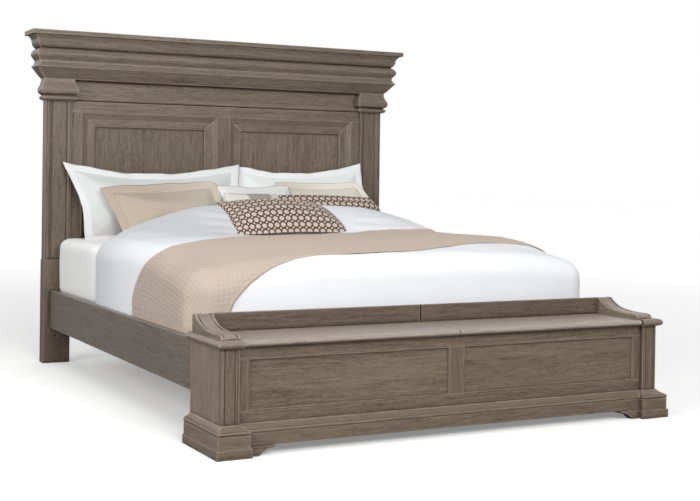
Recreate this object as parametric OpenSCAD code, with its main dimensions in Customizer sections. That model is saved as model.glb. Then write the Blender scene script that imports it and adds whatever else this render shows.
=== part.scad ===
// Panel bed with a tall corniced headboard and a blanket chest as its footboard.
// Millimetres, +Z up, +Y towards the head of the bed, +X to the right as seen from the foot.
// The origin is the middle of the footprint on the floor. Inside the modules y = 0 is the
// back of the chest, where the side rails start; place() moves the whole bed to the origin.

/* [Overall] */
// Clear width between the side rails
rail_clear = 1940; // [1910:2:1960]
// Length of the side rails, from the chest to the head posts
rail_len = 2083; // [2040:1:2110]
// Height of the headboard to the top of the cornice
head_h = 1762; // [1740:1:1820]

/* [Headboard] */
// Width of a post shaft
post_w = 140; // [130:1:150]
// Height of the plain base block of a post
post_step = 550; // [500:1:600]
// How far the cornice top board stands out beyond the posts
crown_out = 97; // [95:1:105]
// Width of the side stiles of the panel frame
stile_w = 55; // [45:1:65]
// Width of the centre stile
centre_stile_w = 66; // [60:1:80]
// Width of the head panel mouldings
head_mould_w = 80; // [70:1:90]

/* [Side rails] */
// Height of a side rail
rail_h = 200; // [180:1:220]
// Height of the rails' lower edge above the floor
rail_z = 188; // [180:1:190]
// Thickness of a side rail
rail_t = 25; // [22:1:28]

/* [Blanket chest] */
// Height of the chest carcass under the lids
chest_h = 389; // [380:1:400]
// Depth of the chest, from its back to the front frame's face
chest_d = 287; // [270:1:310]
// Thickness of the end boards and of the back board
board_t = 18; // [16:1:18]
// Thickness of the seat lids
lid_t = 22; // [20:1:24]
// Height of the rear board above the carcass
upstand_h = 96; // [90:1:110]
// Gap under the lids, filled by the bumpers
bumper_t = 3; // [1.5:0.5:3.5]

/* [Lid hinges] */
// Length of one butt hinge
hinge_len = 60; // [50:1:80]
// Radius of the hinge pin
pin_r = 1.25; // [1.1:0.05:1.3]
// Radial clearance of the hinge pin in its knuckle
pin_gap = 0.05; // [0.03:0.01:0.08]

/* [Bedding] */
// Height of the foundation
foundation_h = 126; // [110:1:128]
// Height of the mattress
mattress_h = 284; // [270:1:286]

/* [Hidden] */

wood = "#756a5e"; wood_light = "#857a6e"; wood_dark = "#6a6055";
steel = "#8f8c86"; white = "#eceaea"; beige = "#c8b6a4"; brown = "#6e5a50";

// widths, as distances from the middle plane
hx = rail_clear / 2;
rail_x = hx + rail_t;
post_x = hx + 55;
post_in = post_x - post_w;
base_x = post_x + 4;
chest_x = hx + 41;
shoe_x = hx + 75;
block_x = hx + 70;
shoe_in = shoe_x - 140;
block_in = block_x - 128;
cpost_in = chest_x - 72;
cap_in = chest_x - 81;
lid_gap = 2.4;          // half of the shadow gap round a lid
lid_x = cap_in - 2 * lid_gap;

// depths of the headboard
yl = rail_len;          // front of the base blocks
yp = yl + 10;           // front of the post shafts
yfr = yl + 20;          // face of the panel frame
yfz = yl + 34;          // face of the frieze
ypn = yl + 37;          // face of the head panels
ybk = yl + 52;          // back of frame and panels
ypo = yl + 72;          // back of the posts
ycb = yl + 82;          // back of the cornice mouldings
ytop = yl + 99;         // back of the cornice top board

// depths of the chest
yf_frame = -chest_d;
yf_in = -chest_d + 22;
yf_post = -chest_d - 18;
yf_rail = -chest_d - 35;
yf_nose = -chest_d - 38;
yf_cap = -chest_d - 39;
yf_lid = -chest_d - 28;
yf_block = -chest_d - 58;
yf_shoe = -chest_d - 63;
y_mid = (ytop + yf_shoe) / 2;

// heights of the headboard, which keep their distance from its top
dz = head_h - 1762;
z_nail = 1738 + dz;     // under the top board
z_cyma = 1668 + dz;     // foot of the cyma
z_torus = 1602 + dz;    // foot of the torus
z_bed = 1512 + dz;      // foot of the bed mould
z_frieze = 1424 + dz;   // foot of the frieze
z_ast = 1398 + dz;      // foot of the astragal
z_open = 1342 + dz;     // top of the panel openings
z_pan0 = 560;           // bottom of the panel openings
z_bot0 = 400;           // bottom edge of the panel frame

// heights of the chest
z_shoe = 35;
z_block = 83;
z_mould = 116;
z_brail = 157;
z_trail = chest_h - 40;
cap_top = chest_h + 29;
lid_bot = chest_h + bumper_t;
lid_top = lid_bot + lid_t;
up_top = chest_h + upstand_h;

// lid hinge: knuckles of radius kn_r round an axis along X
kn_r = 2.5;
hinge_y = -board_t - kn_r;
hinge_z = lid_top - 2;
lid_back = hinge_y - kn_r - 0.4;
hinge_n = 3;

// heights of the bedding
z_slat = 233;
z_found = z_slat + foundation_h;
z_mat0 = z_found + 0.5;
z_mat = z_mat0 + mattress_h;
g = 0.15;               // half of the hairline between mitred lengths of moulding

// ---------- helpers ----------
module place() translate([0, -y_mid, 0]) children();
module both() { children(); mirror([1, 0, 0]) children(); }
// a box from corner to corner
module bx(x0, x1, y0, y1, z0, z1) translate([x0, y0, z0]) cube([x1 - x0, y1 - y0, z1 - z0]);
// an outline of [y, z] points drawn out along X
module run_x(x0, x1, pts) translate([x0, 0, 0]) rotate([90, 0, 90]) linear_extrude(x1 - x0) polygon(pts);
// an outline of [x, z] points drawn out along Y
module run_y(y0, y1, pts) translate([0, y1, 0]) rotate([90, 0, 0]) linear_extrude(y1 - y0) polygon(pts);
// an outline of [x, y] points drawn out along Z
module run_z(z0, z1, pts) translate([0, 0, z0]) linear_extrude(z1 - z0) polygon(pts);
// a rectangle with eased corners of radius r
function corner(cx, cy, r, a0) = [for (i = [0:3]) [cx + r * cos(a0 + i * 30), cy + r * sin(a0 + i * 30)]];
function eased(a0, a1, b0, b1, r) = concat(corner(a1 - r, b1 - r, r, 0), corner(a0 + r, b1 - r, r, 90),
    corner(a0 + r, b0 + r, r, 180), corner(a1 - r, b0 + r, r, 270));
// a rectangle with only its low-a side eased
function eased_low(a0, a1, b0, b1, r) = concat([[a1, b0], [a1, b1]], corner(a0 + r, b1 - r, r, 90),
    corner(a0 + r, b0 + r, r, 180));
// a smooth curve through points, n steps between each pair
function cr_pt(a, b, c, d, t) = 0.5 * (2 * b + (c - a) * t + (2 * a - 5 * b + 4 * c - d) * t * t
    + (3 * b - a - 3 * c + d) * t * t * t);
function curve(p, n = 4) = concat([for (i = [0:len(p) - 2]) for (k = [0:n - 1])
    cr_pt(p[max(i - 1, 0)], p[i], p[i + 1], p[min(i + 2, len(p) - 1)], k / n)], [p[len(p) - 1]]);

// a moulding of [out, z] points mitred round three sides of a block: its front at y = yf
// between x = xa and x = xb, its outer side back to yo and its inner side back to yi
module wrap_front(xa, xb, yf, w, pts, za, zb) intersection() {
    run_x(xa - w, xb + w, [for (p = pts) [yf - p[0], p[1]]]);
    run_z(za, zb, [[xa + g, yf], [xb - g, yf], [xb + w - g, yf - w], [xa - w + g, yf - w]]);
}
module wrap_outer(xb, yf, yo, w, pts, za, zb) intersection() {
    run_y(yf - w, yo, [for (p = pts) [xb + p[0], p[1]]]);
    run_z(za, zb, [[xb, yf + g], [xb + w, yf - w + g], [xb + w, yo], [xb, yo]]);
}
module wrap_inner(xa, yf, yi, w, pts, za, zb) intersection() {
    run_y(yf - w, yi, [for (p = pts) [xa - p[0], p[1]]]);
    run_z(za, zb, [[xa, yf + g], [xa - w, yf - w + g], [xa - w, yi], [xa, yi]]);
}

// ---------- headboard ----------
// outline of a post shaft seen from above: a pilaster face with a sunk flat between grooves
function shaft_face() = [[0, 3], [0.9, 0.9], [3, 0], [6, 0], [7.5, 3], [9, 0], [19, 0], [22, 0.8], [27, 4],
    [33, 5.5], [35, 8], [38, 8], [40, 4.5], [112, 4.5], [114, 8], [117, 8], [119, 5], [124, 1.5],
    [127, 0.2], [132, 0], [134, 0.6], [135.5, 2.5], [137, 0.8], [139, 0.9], [140, 3]];
module post() {
    difference() {
        union() {
            run_z(post_step, z_nail, concat([for (p = shaft_face())
                [post_x - p[0] * post_w / 140, yp + p[1]]], [[post_in, ypo], [post_x, ypo]]));
            run_z(0, post_step, concat([[post_in, ypo], [post_in, yl + 2], [post_in + 2, yl]],
                [[base_x - 4, yl], [base_x - 1.2, yl + 1.2], [base_x, yl + 4], [base_x, ypo]]));
        }
        // bolt holes for a plain metal frame, right through the block
        for (x = [hx - 5, hx - 56]) translate([x, yl - 1, 144]) rotate([-90, 0, 0]) cylinder(r = 4.5, h = 80, $fn = 32);
        // slots for the hooks of the side rail
        for (z = [rail_z + 40, rail_z + rail_h - 80]) bx(rail_x - 15, rail_x - 10, yl - 1, yl + 14, z, z + 40);
    }
}
// capital: a swelling band under the bed mould
cap_prof = concat([[0, z_frieze], [9, z_frieze]], curve([[10, 1425 + dz], [19, 1430 + dz], [28, 1438 + dz], [31, 1452 + dz],
    [28, 1465 + dz], [22.5, 1475 + dz], [18, 1485 + dz], [14.5, 1496 + dz], [13, 1507 + dz]], 4), [[13, z_bed], [0, z_bed]]);
ast_prof = concat([[0, z_ast], [7, z_ast]], curve([[8, 1400 + dz], [14, 1401 + dz], [19, 1404 + dz], [22, 1409 + dz],
    [22.3, 1413 + dz], [20, 1418 + dz], [15, 1421 + dz]], 4), [[11, 1422 + dz], [11, z_frieze], [0, z_frieze]]);
module capital() {
    wrap_front(post_in, post_x, yp, 34, cap_prof, z_frieze - 1, z_bed + 1);
    wrap_outer(post_x, yp, ypo, 34, cap_prof, z_frieze - 1, z_bed + 1);
    wrap_inner(post_in, yp, yfz, 34, cap_prof, z_frieze - 1, z_bed + 1);
}
module astragal() {
    wrap_front(post_in, post_x, yp, 25, ast_prof, z_ast - 1, z_frieze + 1);
    wrap_outer(post_x, yp, ypo, 25, ast_prof, z_ast - 1, z_frieze + 1);
    wrap_inner(post_in, yp, yfz, 25, ast_prof, z_ast - 1, z_frieze + 1);
}
// cornice mouldings, [out, z] from the face and sides of the posts
cyma_prof = concat([[0, z_nail], [80, z_nail], [80, 1735 + dz]], curve([[78, 1732 + dz], [70, 1724 + dz], [65.5, 1716 + dz],
    [63.5, 1707 + dz], [62, 1697 + dz], [58.5, 1688 + dz], [53, 1680 + dz], [47, 1674 + dz]], 4), [[42, 1670 + dz], [42, z_cyma], [0, z_cyma]]);
torus_prof = concat([[0, z_cyma], [46, z_cyma]], curve([[50, 1666 + dz], [57.5, 1659 + dz], [64, 1650 + dz], [67, 1640 + dz],
    [65, 1630 + dz], [58.5, 1621 + dz], [50.5, 1612 + dz], [47, 1604 + dz]], 4), [[47, z_torus], [0, z_torus]]);
bed_prof = concat([[0, z_torus]], curve([[47, z_torus], [48, 1596 + dz], [52, 1587 + dz], [58, 1579 + dz], [63, 1574 + dz]], 4),
    [[64, 1572 + dz], [63, 1570 + dz], [57, 1566 + dz], [55, 1562 + dz]],
    curve([[51, 1559 + dz], [43, 1548 + dz], [34, 1537 + dz], [24, 1526 + dz], [17, 1519 + dz]], 4),
    [[14, 1516 + dz], [13, z_bed], [0, z_bed]]);
module crown_strip(p, za, zb) {
    wrap_front(-post_x, post_x, yp, 84, p, za - 1, zb + 1);
    both() wrap_outer(post_x, yp, ycb, 84, p, za - 1, zb + 1);
}
module crown_top_board() color(wood_light) place() intersection() {
    run_x(-post_x - crown_out, post_x + crown_out, eased(yp - crown_out, ytop, z_nail, head_h, 2.5));
    run_y(yp - crown_out - 1, ytop + 1, eased(-post_x - crown_out, post_x + crown_out, z_nail, head_h, 2.5));
}
// the frieze bead dies into the astragals
module frieze_bead() color(wood) place() {
    bx(-post_in, post_in, yfz, ybk, z_ast, z_frieze);
    run_x(-post_in + 23, post_in - 23, concat([[yfz, z_frieze], [yfz - 4, z_frieze], [yfz - 5, 1421 + dz]],
        curve([[yfz - 9, 1420 + dz], [yfz - 13, 1416 + dz], [yfz - 14.5, 1411 + dz], [yfz - 12.5, 1405 + dz],
        [yfz - 9, 1401 + dz]], 4), [[yfz - 6, z_ast], [yfz, z_ast]]));
}
module head_stile(x0, x1, z0, z1) run_z(z0, z1, [[x0, ybk], [x0, yfr], [x1, yfr], [x1, ybk]]);
// panel moulding, [inward, y]: a raised bead, a slope, a flat and a small bead over the field
hp = [[0, 0], [0, -18], [1.5, -20.5], [4.5, -21.6], [7.5, -20.6], [9, -18], [11, -17], [18, -14], [26, -10.8],
    [33, -9], [34.5, -7], [36.5, -7], [38, -9.2], [69, -9.2], [70.5, -8], [72, -9.6], [74.5, -10.6], [77, -9.6], [78.5, -7.5], [80, -6], [80, 0]];
function hp_pts() = [for (p = hp) [p[0] * head_mould_w / 80, ypn + p[1]]];
module ring(x0, x1, z0, z1, w, pts, ya, yb) {
    intersection() {
        run_x(x0, x1, [for (p = pts) [p[1], z1 - p[0]]]);
        run_y(ya, yb, [[x0 + g, z1], [x1 - g, z1], [x1 - w - g, z1 - w], [x0 + w + g, z1 - w]]);
    }
    intersection() {
        run_x(x0, x1, [for (p = pts) [p[1], z0 + p[0]]]);
        run_y(ya, yb, [[x0 + g, z0], [x1 - g, z0], [x1 - w - g, z0 + w], [x0 + w + g, z0 + w]]);
    }
    intersection() {
        run_z(z0, z1, [for (p = pts) [x0 + p[0], p[1]]]);
        run_y(ya, yb, [[x0, z0 + g], [x0, z1 - g], [x0 + w, z1 - w - g], [x0 + w, z0 + w + g]]);
    }
    intersection() {
        run_z(z0, z1, [for (p = pts) [x1 - p[0], p[1]]]);
        run_y(ya, yb, [[x1, z0 + g], [x1, z1 - g], [x1 - w, z1 - w - g], [x1 - w, z0 + w + g]]);
    }
}
cs = centre_stile_w / 2;
so = post_in - stile_w;
module post_left() color(wood) place() mirror([1, 0, 0]) post();
module post_right() color(wood) place() post();
module capitals() color(wood_light) place() both() capital();
module astragals() color(wood_light) place() both() astragal();
module crown_cyma() color(wood) place() crown_strip(cyma_prof, z_cyma, z_nail);
module crown_torus() color(wood_light) place() crown_strip(torus_prof, z_torus, z_cyma);
module crown_bed_mould() color(wood) place() crown_strip(bed_prof, z_bed, z_torus);
module crown_packing_board() color(wood_dark) place() bx(-post_in, post_in, yp, yfz, z_bed, z_nail);
module frieze_board() color(wood) place() bx(-post_in, post_in, yfz, ybk, z_frieze, z_nail);
module head_top_rail() color(wood) place() bx(-post_in, post_in, yfr, ybk, z_open, z_ast);
module head_bottom_rail() color(wood) place() bx(-so, so, yfr, ybk, z_bot0, z_pan0);
module head_centre_stile() color(wood) place() head_stile(-cs, cs, z_pan0, z_open);
module head_side_stiles() color(wood) place() both() head_stile(so, post_in, z_bot0, z_open);
module head_panel_left() color(wood_dark) place() bx(-so, -cs, ypn, ybk, z_pan0, z_open);
module head_panel_right() color(wood_dark) place() bx(cs, so, ypn, ybk, z_pan0, z_open);
module head_panel_mouldings() color(wood) place() both()
    ring(cs, so, z_pan0, z_open, head_mould_w, hp_pts(), ypn - 30, ypn + 5);

// ---------- side rails and bed base ----------
module side_rail() run_y(4, yl - 4, eased(hx, rail_x, rail_z, rail_z + rail_h, 2));
// a plate on each rail end with two hooks: they drop into the slots of the post, and at the
// chest end the plate is screwed flat
module hook_plates() {
    bx(rail_x - 21, rail_x - 4, yl - 4, yl, rail_z + 20, rail_z + rail_h - 18);
    for (z = [rail_z + 41, rail_z + rail_h - 79]) bx(rail_x - 14, rail_x - 11, yl, yl + 12, z, z + 38);
    bx(rail_x - 21, rail_x - 4, 0, 4, rail_z + 20, rail_z + rail_h - 18);
}
slat_n = 7;
module slats() for (i = [0:slat_n - 1]) let (y = 150 + i * (yl - 300) / (slat_n - 1))
    run_x(-hx + 3, hx - 3, eased(y - 45, y + 45, 215, z_slat, 1.5));
module side_rail_left() color(wood_dark) place() mirror([1, 0, 0]) side_rail();
module side_rail_right() color(wood_dark) place() side_rail();
module rail_hook_plates() color(steel) place() both() hook_plates();
module ledger_strips() color(wood_dark) place() both() bx(hx - 25, hx, 12, yl - 12, 190, 215);
module cross_slats() color(wood_light) place() slats();
module centre_beam() color(wood_light) place() bx(-22, 22, 6, yl - 6, 150, 215);
leg_y = [450, 1040, 1630];
module centre_legs() color(wood_light) place() for (y = leg_y) bx(-20, 20, y - 20, y + 20, 12, 150);
module leg_glides() color("#3a3836") place() for (y = leg_y) translate([0, y, 0]) cylinder(r = 15, h = 12, $fn = 40);

// ---------- chest ----------
module chest_side() bx(chest_x - board_t, chest_x, yf_in, 0, z_block, chest_h);
// pilaster face of a corner post, [inward, depth]
function cpost_face() = [[0, 3], [0.9, 0.9], [3, 0], [9.5, 0], [11, 3.5], [13.5, 3.5], [15, 1.6], [17, 1.2], [51, 1.2],
    [52.5, 3.5], [54.5, 3.5], [56, 1], [58, 0.2], [60, 0], [62, 0.3], [63.5, 2.8], [65.5, 2.8], [67, 0.6],
    [70, 0.6], [71.5, 1.2], [72, 2.5]];
module chest_corner_post() run_z(z_block, chest_h, concat([for (p = cpost_face()) [chest_x - p[0], yf_post + p[1]]],
    [[cpost_in, yf_in], [chest_x, yf_in]]));
pan_x = cpost_in - 39;
mul = 32;
bead_o = [[0, 0], [0, -3.2], [1.4, -5.2], [3.2, -6], [5, -5.2], [6.4, -3], [7, -1], [7, 0]];
function bead_pts() = [for (p = bead_o) [p[0], yf_frame + 4 + p[1]]];
module chest_side_left() color(wood) place() mirror([1, 0, 0]) chest_side();
module chest_side_right() color(wood) place() chest_side();
module chest_corner_posts() color(wood) place() both() chest_corner_post();
module chest_top_rail() color(wood) place() bx(-cpost_in, cpost_in, yf_frame, yf_in, z_trail, chest_h);
module chest_bottom_rail() color(wood) place() {
    bx(-cpost_in, cpost_in, yf_frame, yf_in, z_block, z_brail);
    bx(-block_in, block_in, yf_frame, yf_in, 38, z_block + 1);
}
module chest_front_stiles() color(wood) place() {
    both() bx(pan_x, cpost_in, yf_frame, yf_in, z_brail, z_trail);
    bx(-mul, mul, yf_frame, yf_in, z_brail, z_trail);
}
module chest_panel_left() color(wood_dark) place() bx(-pan_x, -mul, yf_frame + 4, yf_frame + 16, z_brail, z_trail);
module chest_panel_right() color(wood_dark) place() bx(mul, pan_x, yf_frame + 4, yf_frame + 16, z_brail, z_trail);
module chest_panel_beads() color(wood_light) place() both()
    ring(mul, pan_x, z_brail, z_trail, 7, bead_pts(), yf_frame - 6, yf_frame + 5);
module chest_back() color(wood_dark) place() bx(-chest_x + board_t, chest_x - board_t, -board_t, 0, z_block, chest_h);
module chest_floor() color(wood_light) place() bx(-chest_x + board_t, chest_x - board_t, yf_in, -board_t, z_block, z_block + 12);
module chest_divider() color(wood_light) place() bx(-9, 9, yf_in, -board_t, z_block + 12, chest_h - 4);

// base moulding, [out as a share of the full step, z]: nose, fillet, slope
bm = [[0, 83], [0.93, 83], [0.95, 85.5], [0.99, 86.5], [1.03, 88.5], [1.04, 91], [1.03, 93.5], [0.99, 95.5], [0.9, 96.3], [0.86, 96.8],
    [0.85, 99.5], [0.72, 100.5], [0.52, 103.5], [0.32, 108], [0.16, 112.5], [0.12, 114], [0.12, 116], [0, 116]];
function bm_pts(step) = [for (p = bm) [p[0] * step, p[1]]];
st_side = block_x - chest_x;
st_front = yf_post - yf_block;
st_in = cpost_in - block_in;
module base_corner() {
    intersection() {
        run_y(yf_block - 6, 0, [for (p = bm_pts(st_side)) [chest_x + p[0], p[1]]]);
        run_z(82, 117, [[chest_x, yf_post + g], [chest_x + st_side * 1.2, yf_post - st_front * 1.2 + g], [chest_x + st_side * 1.2, -10], [chest_x, -10]]);
    }
    intersection() {
        run_x(block_in - 8, block_x + 8, [for (p = bm_pts(st_front)) [yf_post - p[0], p[1]]]);
        run_z(82, 117, [[cpost_in + g, yf_post], [chest_x - g, yf_post], [chest_x + st_side * 1.2 - g, yf_post - st_front * 1.2],
            [cpost_in - st_in * 1.2 + g, yf_post - st_front * 1.2]]);
    }
    intersection() {
        run_y(yf_block - 6, yf_frame, [for (p = bm_pts(st_in)) [cpost_in - p[0], p[1]]]);
        run_z(82, 117, [[cpost_in, yf_post + g], [cpost_in - st_in * 1.2, yf_post - st_front * 1.2 + g], [cpost_in - st_in * 1.2, yf_frame], [cpost_in, yf_frame]]);
    }
}
module plinth_block() run_z(z_shoe, z_block, eased(block_in, block_x, yf_block, -10, 1.5));
module plinth_shoe() intersection() {
    run_x(shoe_in, shoe_x, eased_low(yf_shoe, -11, 0, z_shoe, 2));
    run_y(yf_shoe - 1, -10, eased(shoe_in, shoe_x, 0, z_shoe, 2));
}
module ogee_bracket() run_y(yf_rail - 4, yf_frame, concat([[shoe_in, 0], [shoe_in, 38], [shoe_in - 99, 38], [shoe_in - 99, 31],
    [shoe_in - 96, 29]], curve([[shoe_in - 93, 28], [shoe_in - 82, 27], [shoe_in - 68, 23], [shoe_in - 55, 16], [shoe_in - 46, 9]], 4),
    [[shoe_in - 43, 7], [shoe_in - 38, 6], [shoe_in - 38, 0]]));
module base_rail() color(wood) place() run_x(-block_in, block_in, [[yf_frame, 38], [yf_frame, 85], [yf_rail, 85], [yf_rail, 40], [yf_rail + 2, 38]]);
// the front length is coped over the inner returns of the corners
module base_moulding_front() color(wood_light) place() difference() {
    run_x(-cpost_in + 1, cpost_in - 1, [for (p = bm_pts((yf_frame - yf_nose) / 1.04)) [yf_frame - p[0], max(p[1], 85)]]);
    both() run_y(yf_shoe, 10, concat([for (p = bm_pts(st_in)) [cpost_in - p[0] - 0.2, p[1] + (p[1] > 95 ? 0.2 : 0)]], [[cpost_in + 5, 117], [cpost_in + 5, 80], [block_in - 0.2, 80]]));
}
module base_moulding_corners() color(wood_light) place() both() base_corner();
module plinth_blocks() color(wood) place() both() plinth_block();
module plinth_shoes() color(wood) place() both() plinth_shoe();
module ogee_brackets() color(wood) place() both() ogee_bracket();

// a rounded nose, [a, z], on the low-a side of a board from z0 to z1
function nose(a0, a1, z0, z1) = concat([[a1, z0], [a1, z1]], curve([[a0 + 13, z1], [a0 + 9, z1 - 1.5], [a0 + 4, z1 - 6],
    [a0 + 0.6, z1 - (z1 - z0) * 0.42], [a0, (z0 + z1) / 2], [a0 + 1.5, z0 + (z1 - z0) * 0.3], [a0 + 6, z0 + 3.5], [a0 + 10, z0 + 2]], 3), [[a0 + 12, z0]]);
module end_cap() intersection() {
    run_x(cap_in, chest_x + 21, nose(yf_cap, 0, chest_h, cap_top));
    run_y(yf_cap - 1, 1, [for (p = nose(-chest_x - 21, -cap_in, chest_h, cap_top)) [-p[0], p[1]]]);
}
// side outline of a scroll ear from back to front, [y, z above the cap]
ear_curve = curve([[-28, 67], [-36, 58], [-55, 46], [-86, 32.5], [-127, 24], [-182, 19], [-235, 18.4], [-262, 17.6], [-275, 15.4], [-281.5, 11], [-284, 5]], 3);
ear_ky = chest_d / 287;
ear_kz = (up_top - cap_top) / 67;
// the outline drawn in by d
function ear_slice(d) = concat([[0, cap_top], [0, up_top - d], [-26 * ear_ky, up_top - d]],
    [for (p = ear_curve) if (p[1] * ear_kz - d > 0.8)
        [p[0] * ear_ky + d * min(1, max(0, (-p[0] - 245) / 30)), cap_top + p[1] * ear_kz - d]],
    [[-283 * ear_ky + d, cap_top]]);
// [from, to, depth] across the ear: the body at the depth of the grooves, a bead along each
// edge and a wide flat band between the grooves
ear_steps = [[0, 76, 4.5], [0, 9.5, 2.2], [0.9, 8.6, 0.7], [2.4, 7.1, 0], [66.5, 76, 2.2], [67.4, 75.1, 0.7], [68.9, 73.6, 0],
    [14.5, 61.5, 2.4], [16.2, 59.8, 1.2]];
module scroll_ear() for (e = ear_steps) run_x(cap_in + e[0], cap_in + e[1], ear_slice(e[2]));
// the two boards meet at the middle in a half-lapped shadow groove
module rear_board() difference() {
    run_x(0.4, cap_in, concat([[-board_t, chest_h], [0, chest_h]], corner(-3, up_top - 3, 3, 0), corner(-board_t + 3, up_top - 3, 3, 90)));
    bx(-1, 3.2, -board_t - 1, -board_t + 11, chest_h - 1, up_top + 1);
}
module end_caps() color(wood_light) place() both() end_cap();
module scroll_ears() color(wood_light) place() both() scroll_ear();
module rear_boards() color(wood) place() both() rear_board();

// ---------- lids and hinges ----------
module lid() run_x(lid_gap, lid_x, nose(yf_lid, lid_back, lid_bot, lid_top));
hinge_x = [for (i = [0:hinge_n - 1]) 130 + i * (lid_x - 260) / (hinge_n - 1)];
kl = hinge_len / 3;     // length of a knuckle
module knuckle(x0, x1, r) translate([x0, hinge_y, hinge_z]) rotate([0, 90, 0]) cylinder(r = r, h = x1 - x0, $fn = 48);
module fixed_leaf(xc) {
    bx(xc - hinge_len / 2, xc + hinge_len / 2, -board_t - 1.2, -board_t, chest_h + 1, hinge_z - kn_r - 0.4);
    for (s = [-1, 1]) difference() {
        union() {
            knuckle(xc + s * (kl + 0.2) - (kl - 0.4) / 2, xc + s * (kl + 0.2) + (kl - 0.4) / 2, kn_r);
            bx(xc + s * (kl + 0.2) - (kl - 0.4) / 2, xc + s * (kl + 0.2) + (kl - 0.4) / 2, -board_t - 1.2, -board_t, hinge_z - kn_r - 0.5, hinge_z);
        }
    }
    knuckle(xc - hinge_len / 2, xc + hinge_len / 2, pin_r);
}
module moving_leaf(xc) difference() {
    union() {
        bx(xc - hinge_len / 2, xc + hinge_len / 2, lid_back, lid_back + 1.2, lid_bot + 1, hinge_z - kn_r - 0.4);
        bx(xc - kl / 2 + 0.2, xc + kl / 2 - 0.2, lid_back, lid_back + 1.2, hinge_z - kn_r - 0.5, hinge_z);
        knuckle(xc - kl / 2 + 0.2, xc + kl / 2 - 0.2, kn_r);
    }
    knuckle(xc - kl, xc + kl, pin_r + pin_gap);
}
module lid_left() color(wood_light) place() mirror([1, 0, 0]) lid();
module lid_right() color(wood_light) place() lid();
module hinge_fixed_leaves() color(steel) place() both() for (x = hinge_x) fixed_leaf(x);
module hinge_leaves_left() color(steel) place() mirror([1, 0, 0]) for (x = hinge_x) moving_leaf(x);
module hinge_leaves_right() color(steel) place() for (x = hinge_x) moving_leaf(x);
module lid_bumpers() color("#4a4642") place() both() for (x = [60, lid_x - 60])
    translate([x, yf_in - 10, chest_h]) cylinder(r = 5, h = bumper_t, $fn = 24);

// ---------- bedding ----------
// a block with upright rounded corners of radius r at its foot end
module foot_rounded(x, y0, y1, z0, z1, r) {
    bx(-x, x, y0 + r, y1, z0, z1);
    bx(-x + r, x - r, y0, y0 + r, z0, z1);
    both() translate([x - r, y0 + r, z0]) cylinder(r = r, h = z1 - z0, $fn = 48);
}
module foundation() color(white) place() foot_rounded(hx - 12, 40, yl - 12, z_slat, z_found, 60);
module mattress() color(white) place() foot_rounded(hx - 29, 62, yl - 14, z_mat0, z_mat, 90);
fold_y = yl - 383;
duvet_line = [[44, 380], [44, 600], [50, 640], [62, 662], [100, 668], [150, 671], [300, 678], [465, 690], [600, 716], [900, 722], [fold_y - 320, 722],
    [fold_y - 220, 735], [fold_y - 100, 775], [fold_y, 815], [fold_y, 380]];
module duvet() color(white) place() difference() {
    intersection() {
        foot_rounded(hx - 4.5, 44, fold_y, 380, 830, 108);
        run_x(-hx, hx, duvet_line);
    }
    foot_rounded(hx - 28.5, 61.5, yl, 300, z_mat + 0.5, 90.5);
}
// the coverlet lies across the duvet on a slant and hangs down at both sides
cov_plan = [[-hx + 0.8, 160], [-700, 112], [-400, 120], [-150, 135], [134, 182], [240, 230], [358, 294], [478, 350], [690, 408],
    [hx - 0.8, 400], [hx - 0.8, 1340], [560, 1342], [325, 1262], [67, 1120], [-215, 985], [-434, 915], [-580, 832], [-763, 666],
    [-900, 600], [-hx + 0.8, 655]];
cov_line = [[100, 668], [150, 671], [300, 678], [465, 690], [600, 716], [900, 722], [fold_y - 310, 722.5]];
module coverlet() color(beige) place() {
    intersection() {
        run_z(600, 760, cov_plan);
        run_x(-hx, hx, concat([for (p = cov_line) [p[0], p[1] + 0.6]], [for (i = [len(cov_line) - 1:-1:0]) [cov_line[i][0], cov_line[i][1] + 6]]));
    }
    run_x(-hx + 0.8, -hx + 4, [[160, 395], [160, 673], [300, 680], [465, 692], [600, 718], [655, 718], [727, 574], [791, 503], [812, 395]]);
    run_x(hx - 4, hx - 0.8, [[400, 395], [400, 687], [465, 692], [600, 718], [900, 724], [1340, 725], [1340, 395]]);
}
// a pillow as a plain slab: its lower back edge at (y, z), leaning back by a degrees
module slab(x0, x1, y, z, h, t, a) translate([0, y, z]) rotate([-a, 0, 0]) translate([x0, -t, 0]) cube([x1 - x0, t, h]);
dyp = yl - 2083;
module sham_pillows() color(white) place() {
    slab(-940, 15, 1891 + dyp, z_mat + 1, 452, 60, 24);
    slab(25, 940, 1891 + dyp, z_mat + 1, 452, 60, 24);
}
module quilted_shams() color(beige) place() {
    slab(-790, -130, 1757 + dyp, z_mat + 1, 340, 56, 34);
    slab(285, 855, 1757 + dyp, z_mat + 1, 340, 56, 34);
}
module small_pillows() color(brown) place() {
    slab(-120, 275, 1757 + dyp, z_mat + 1, 320, 56, 34);
    slab(-115, 112, 1804 + dyp, 830, 90, 26, 34);
    slab(-195, 436, 1440 + dyp, 733, 290, 52, 70);
    slab(120, 870, 1764 + dyp, 760, 160, 38, 34);
}

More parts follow.
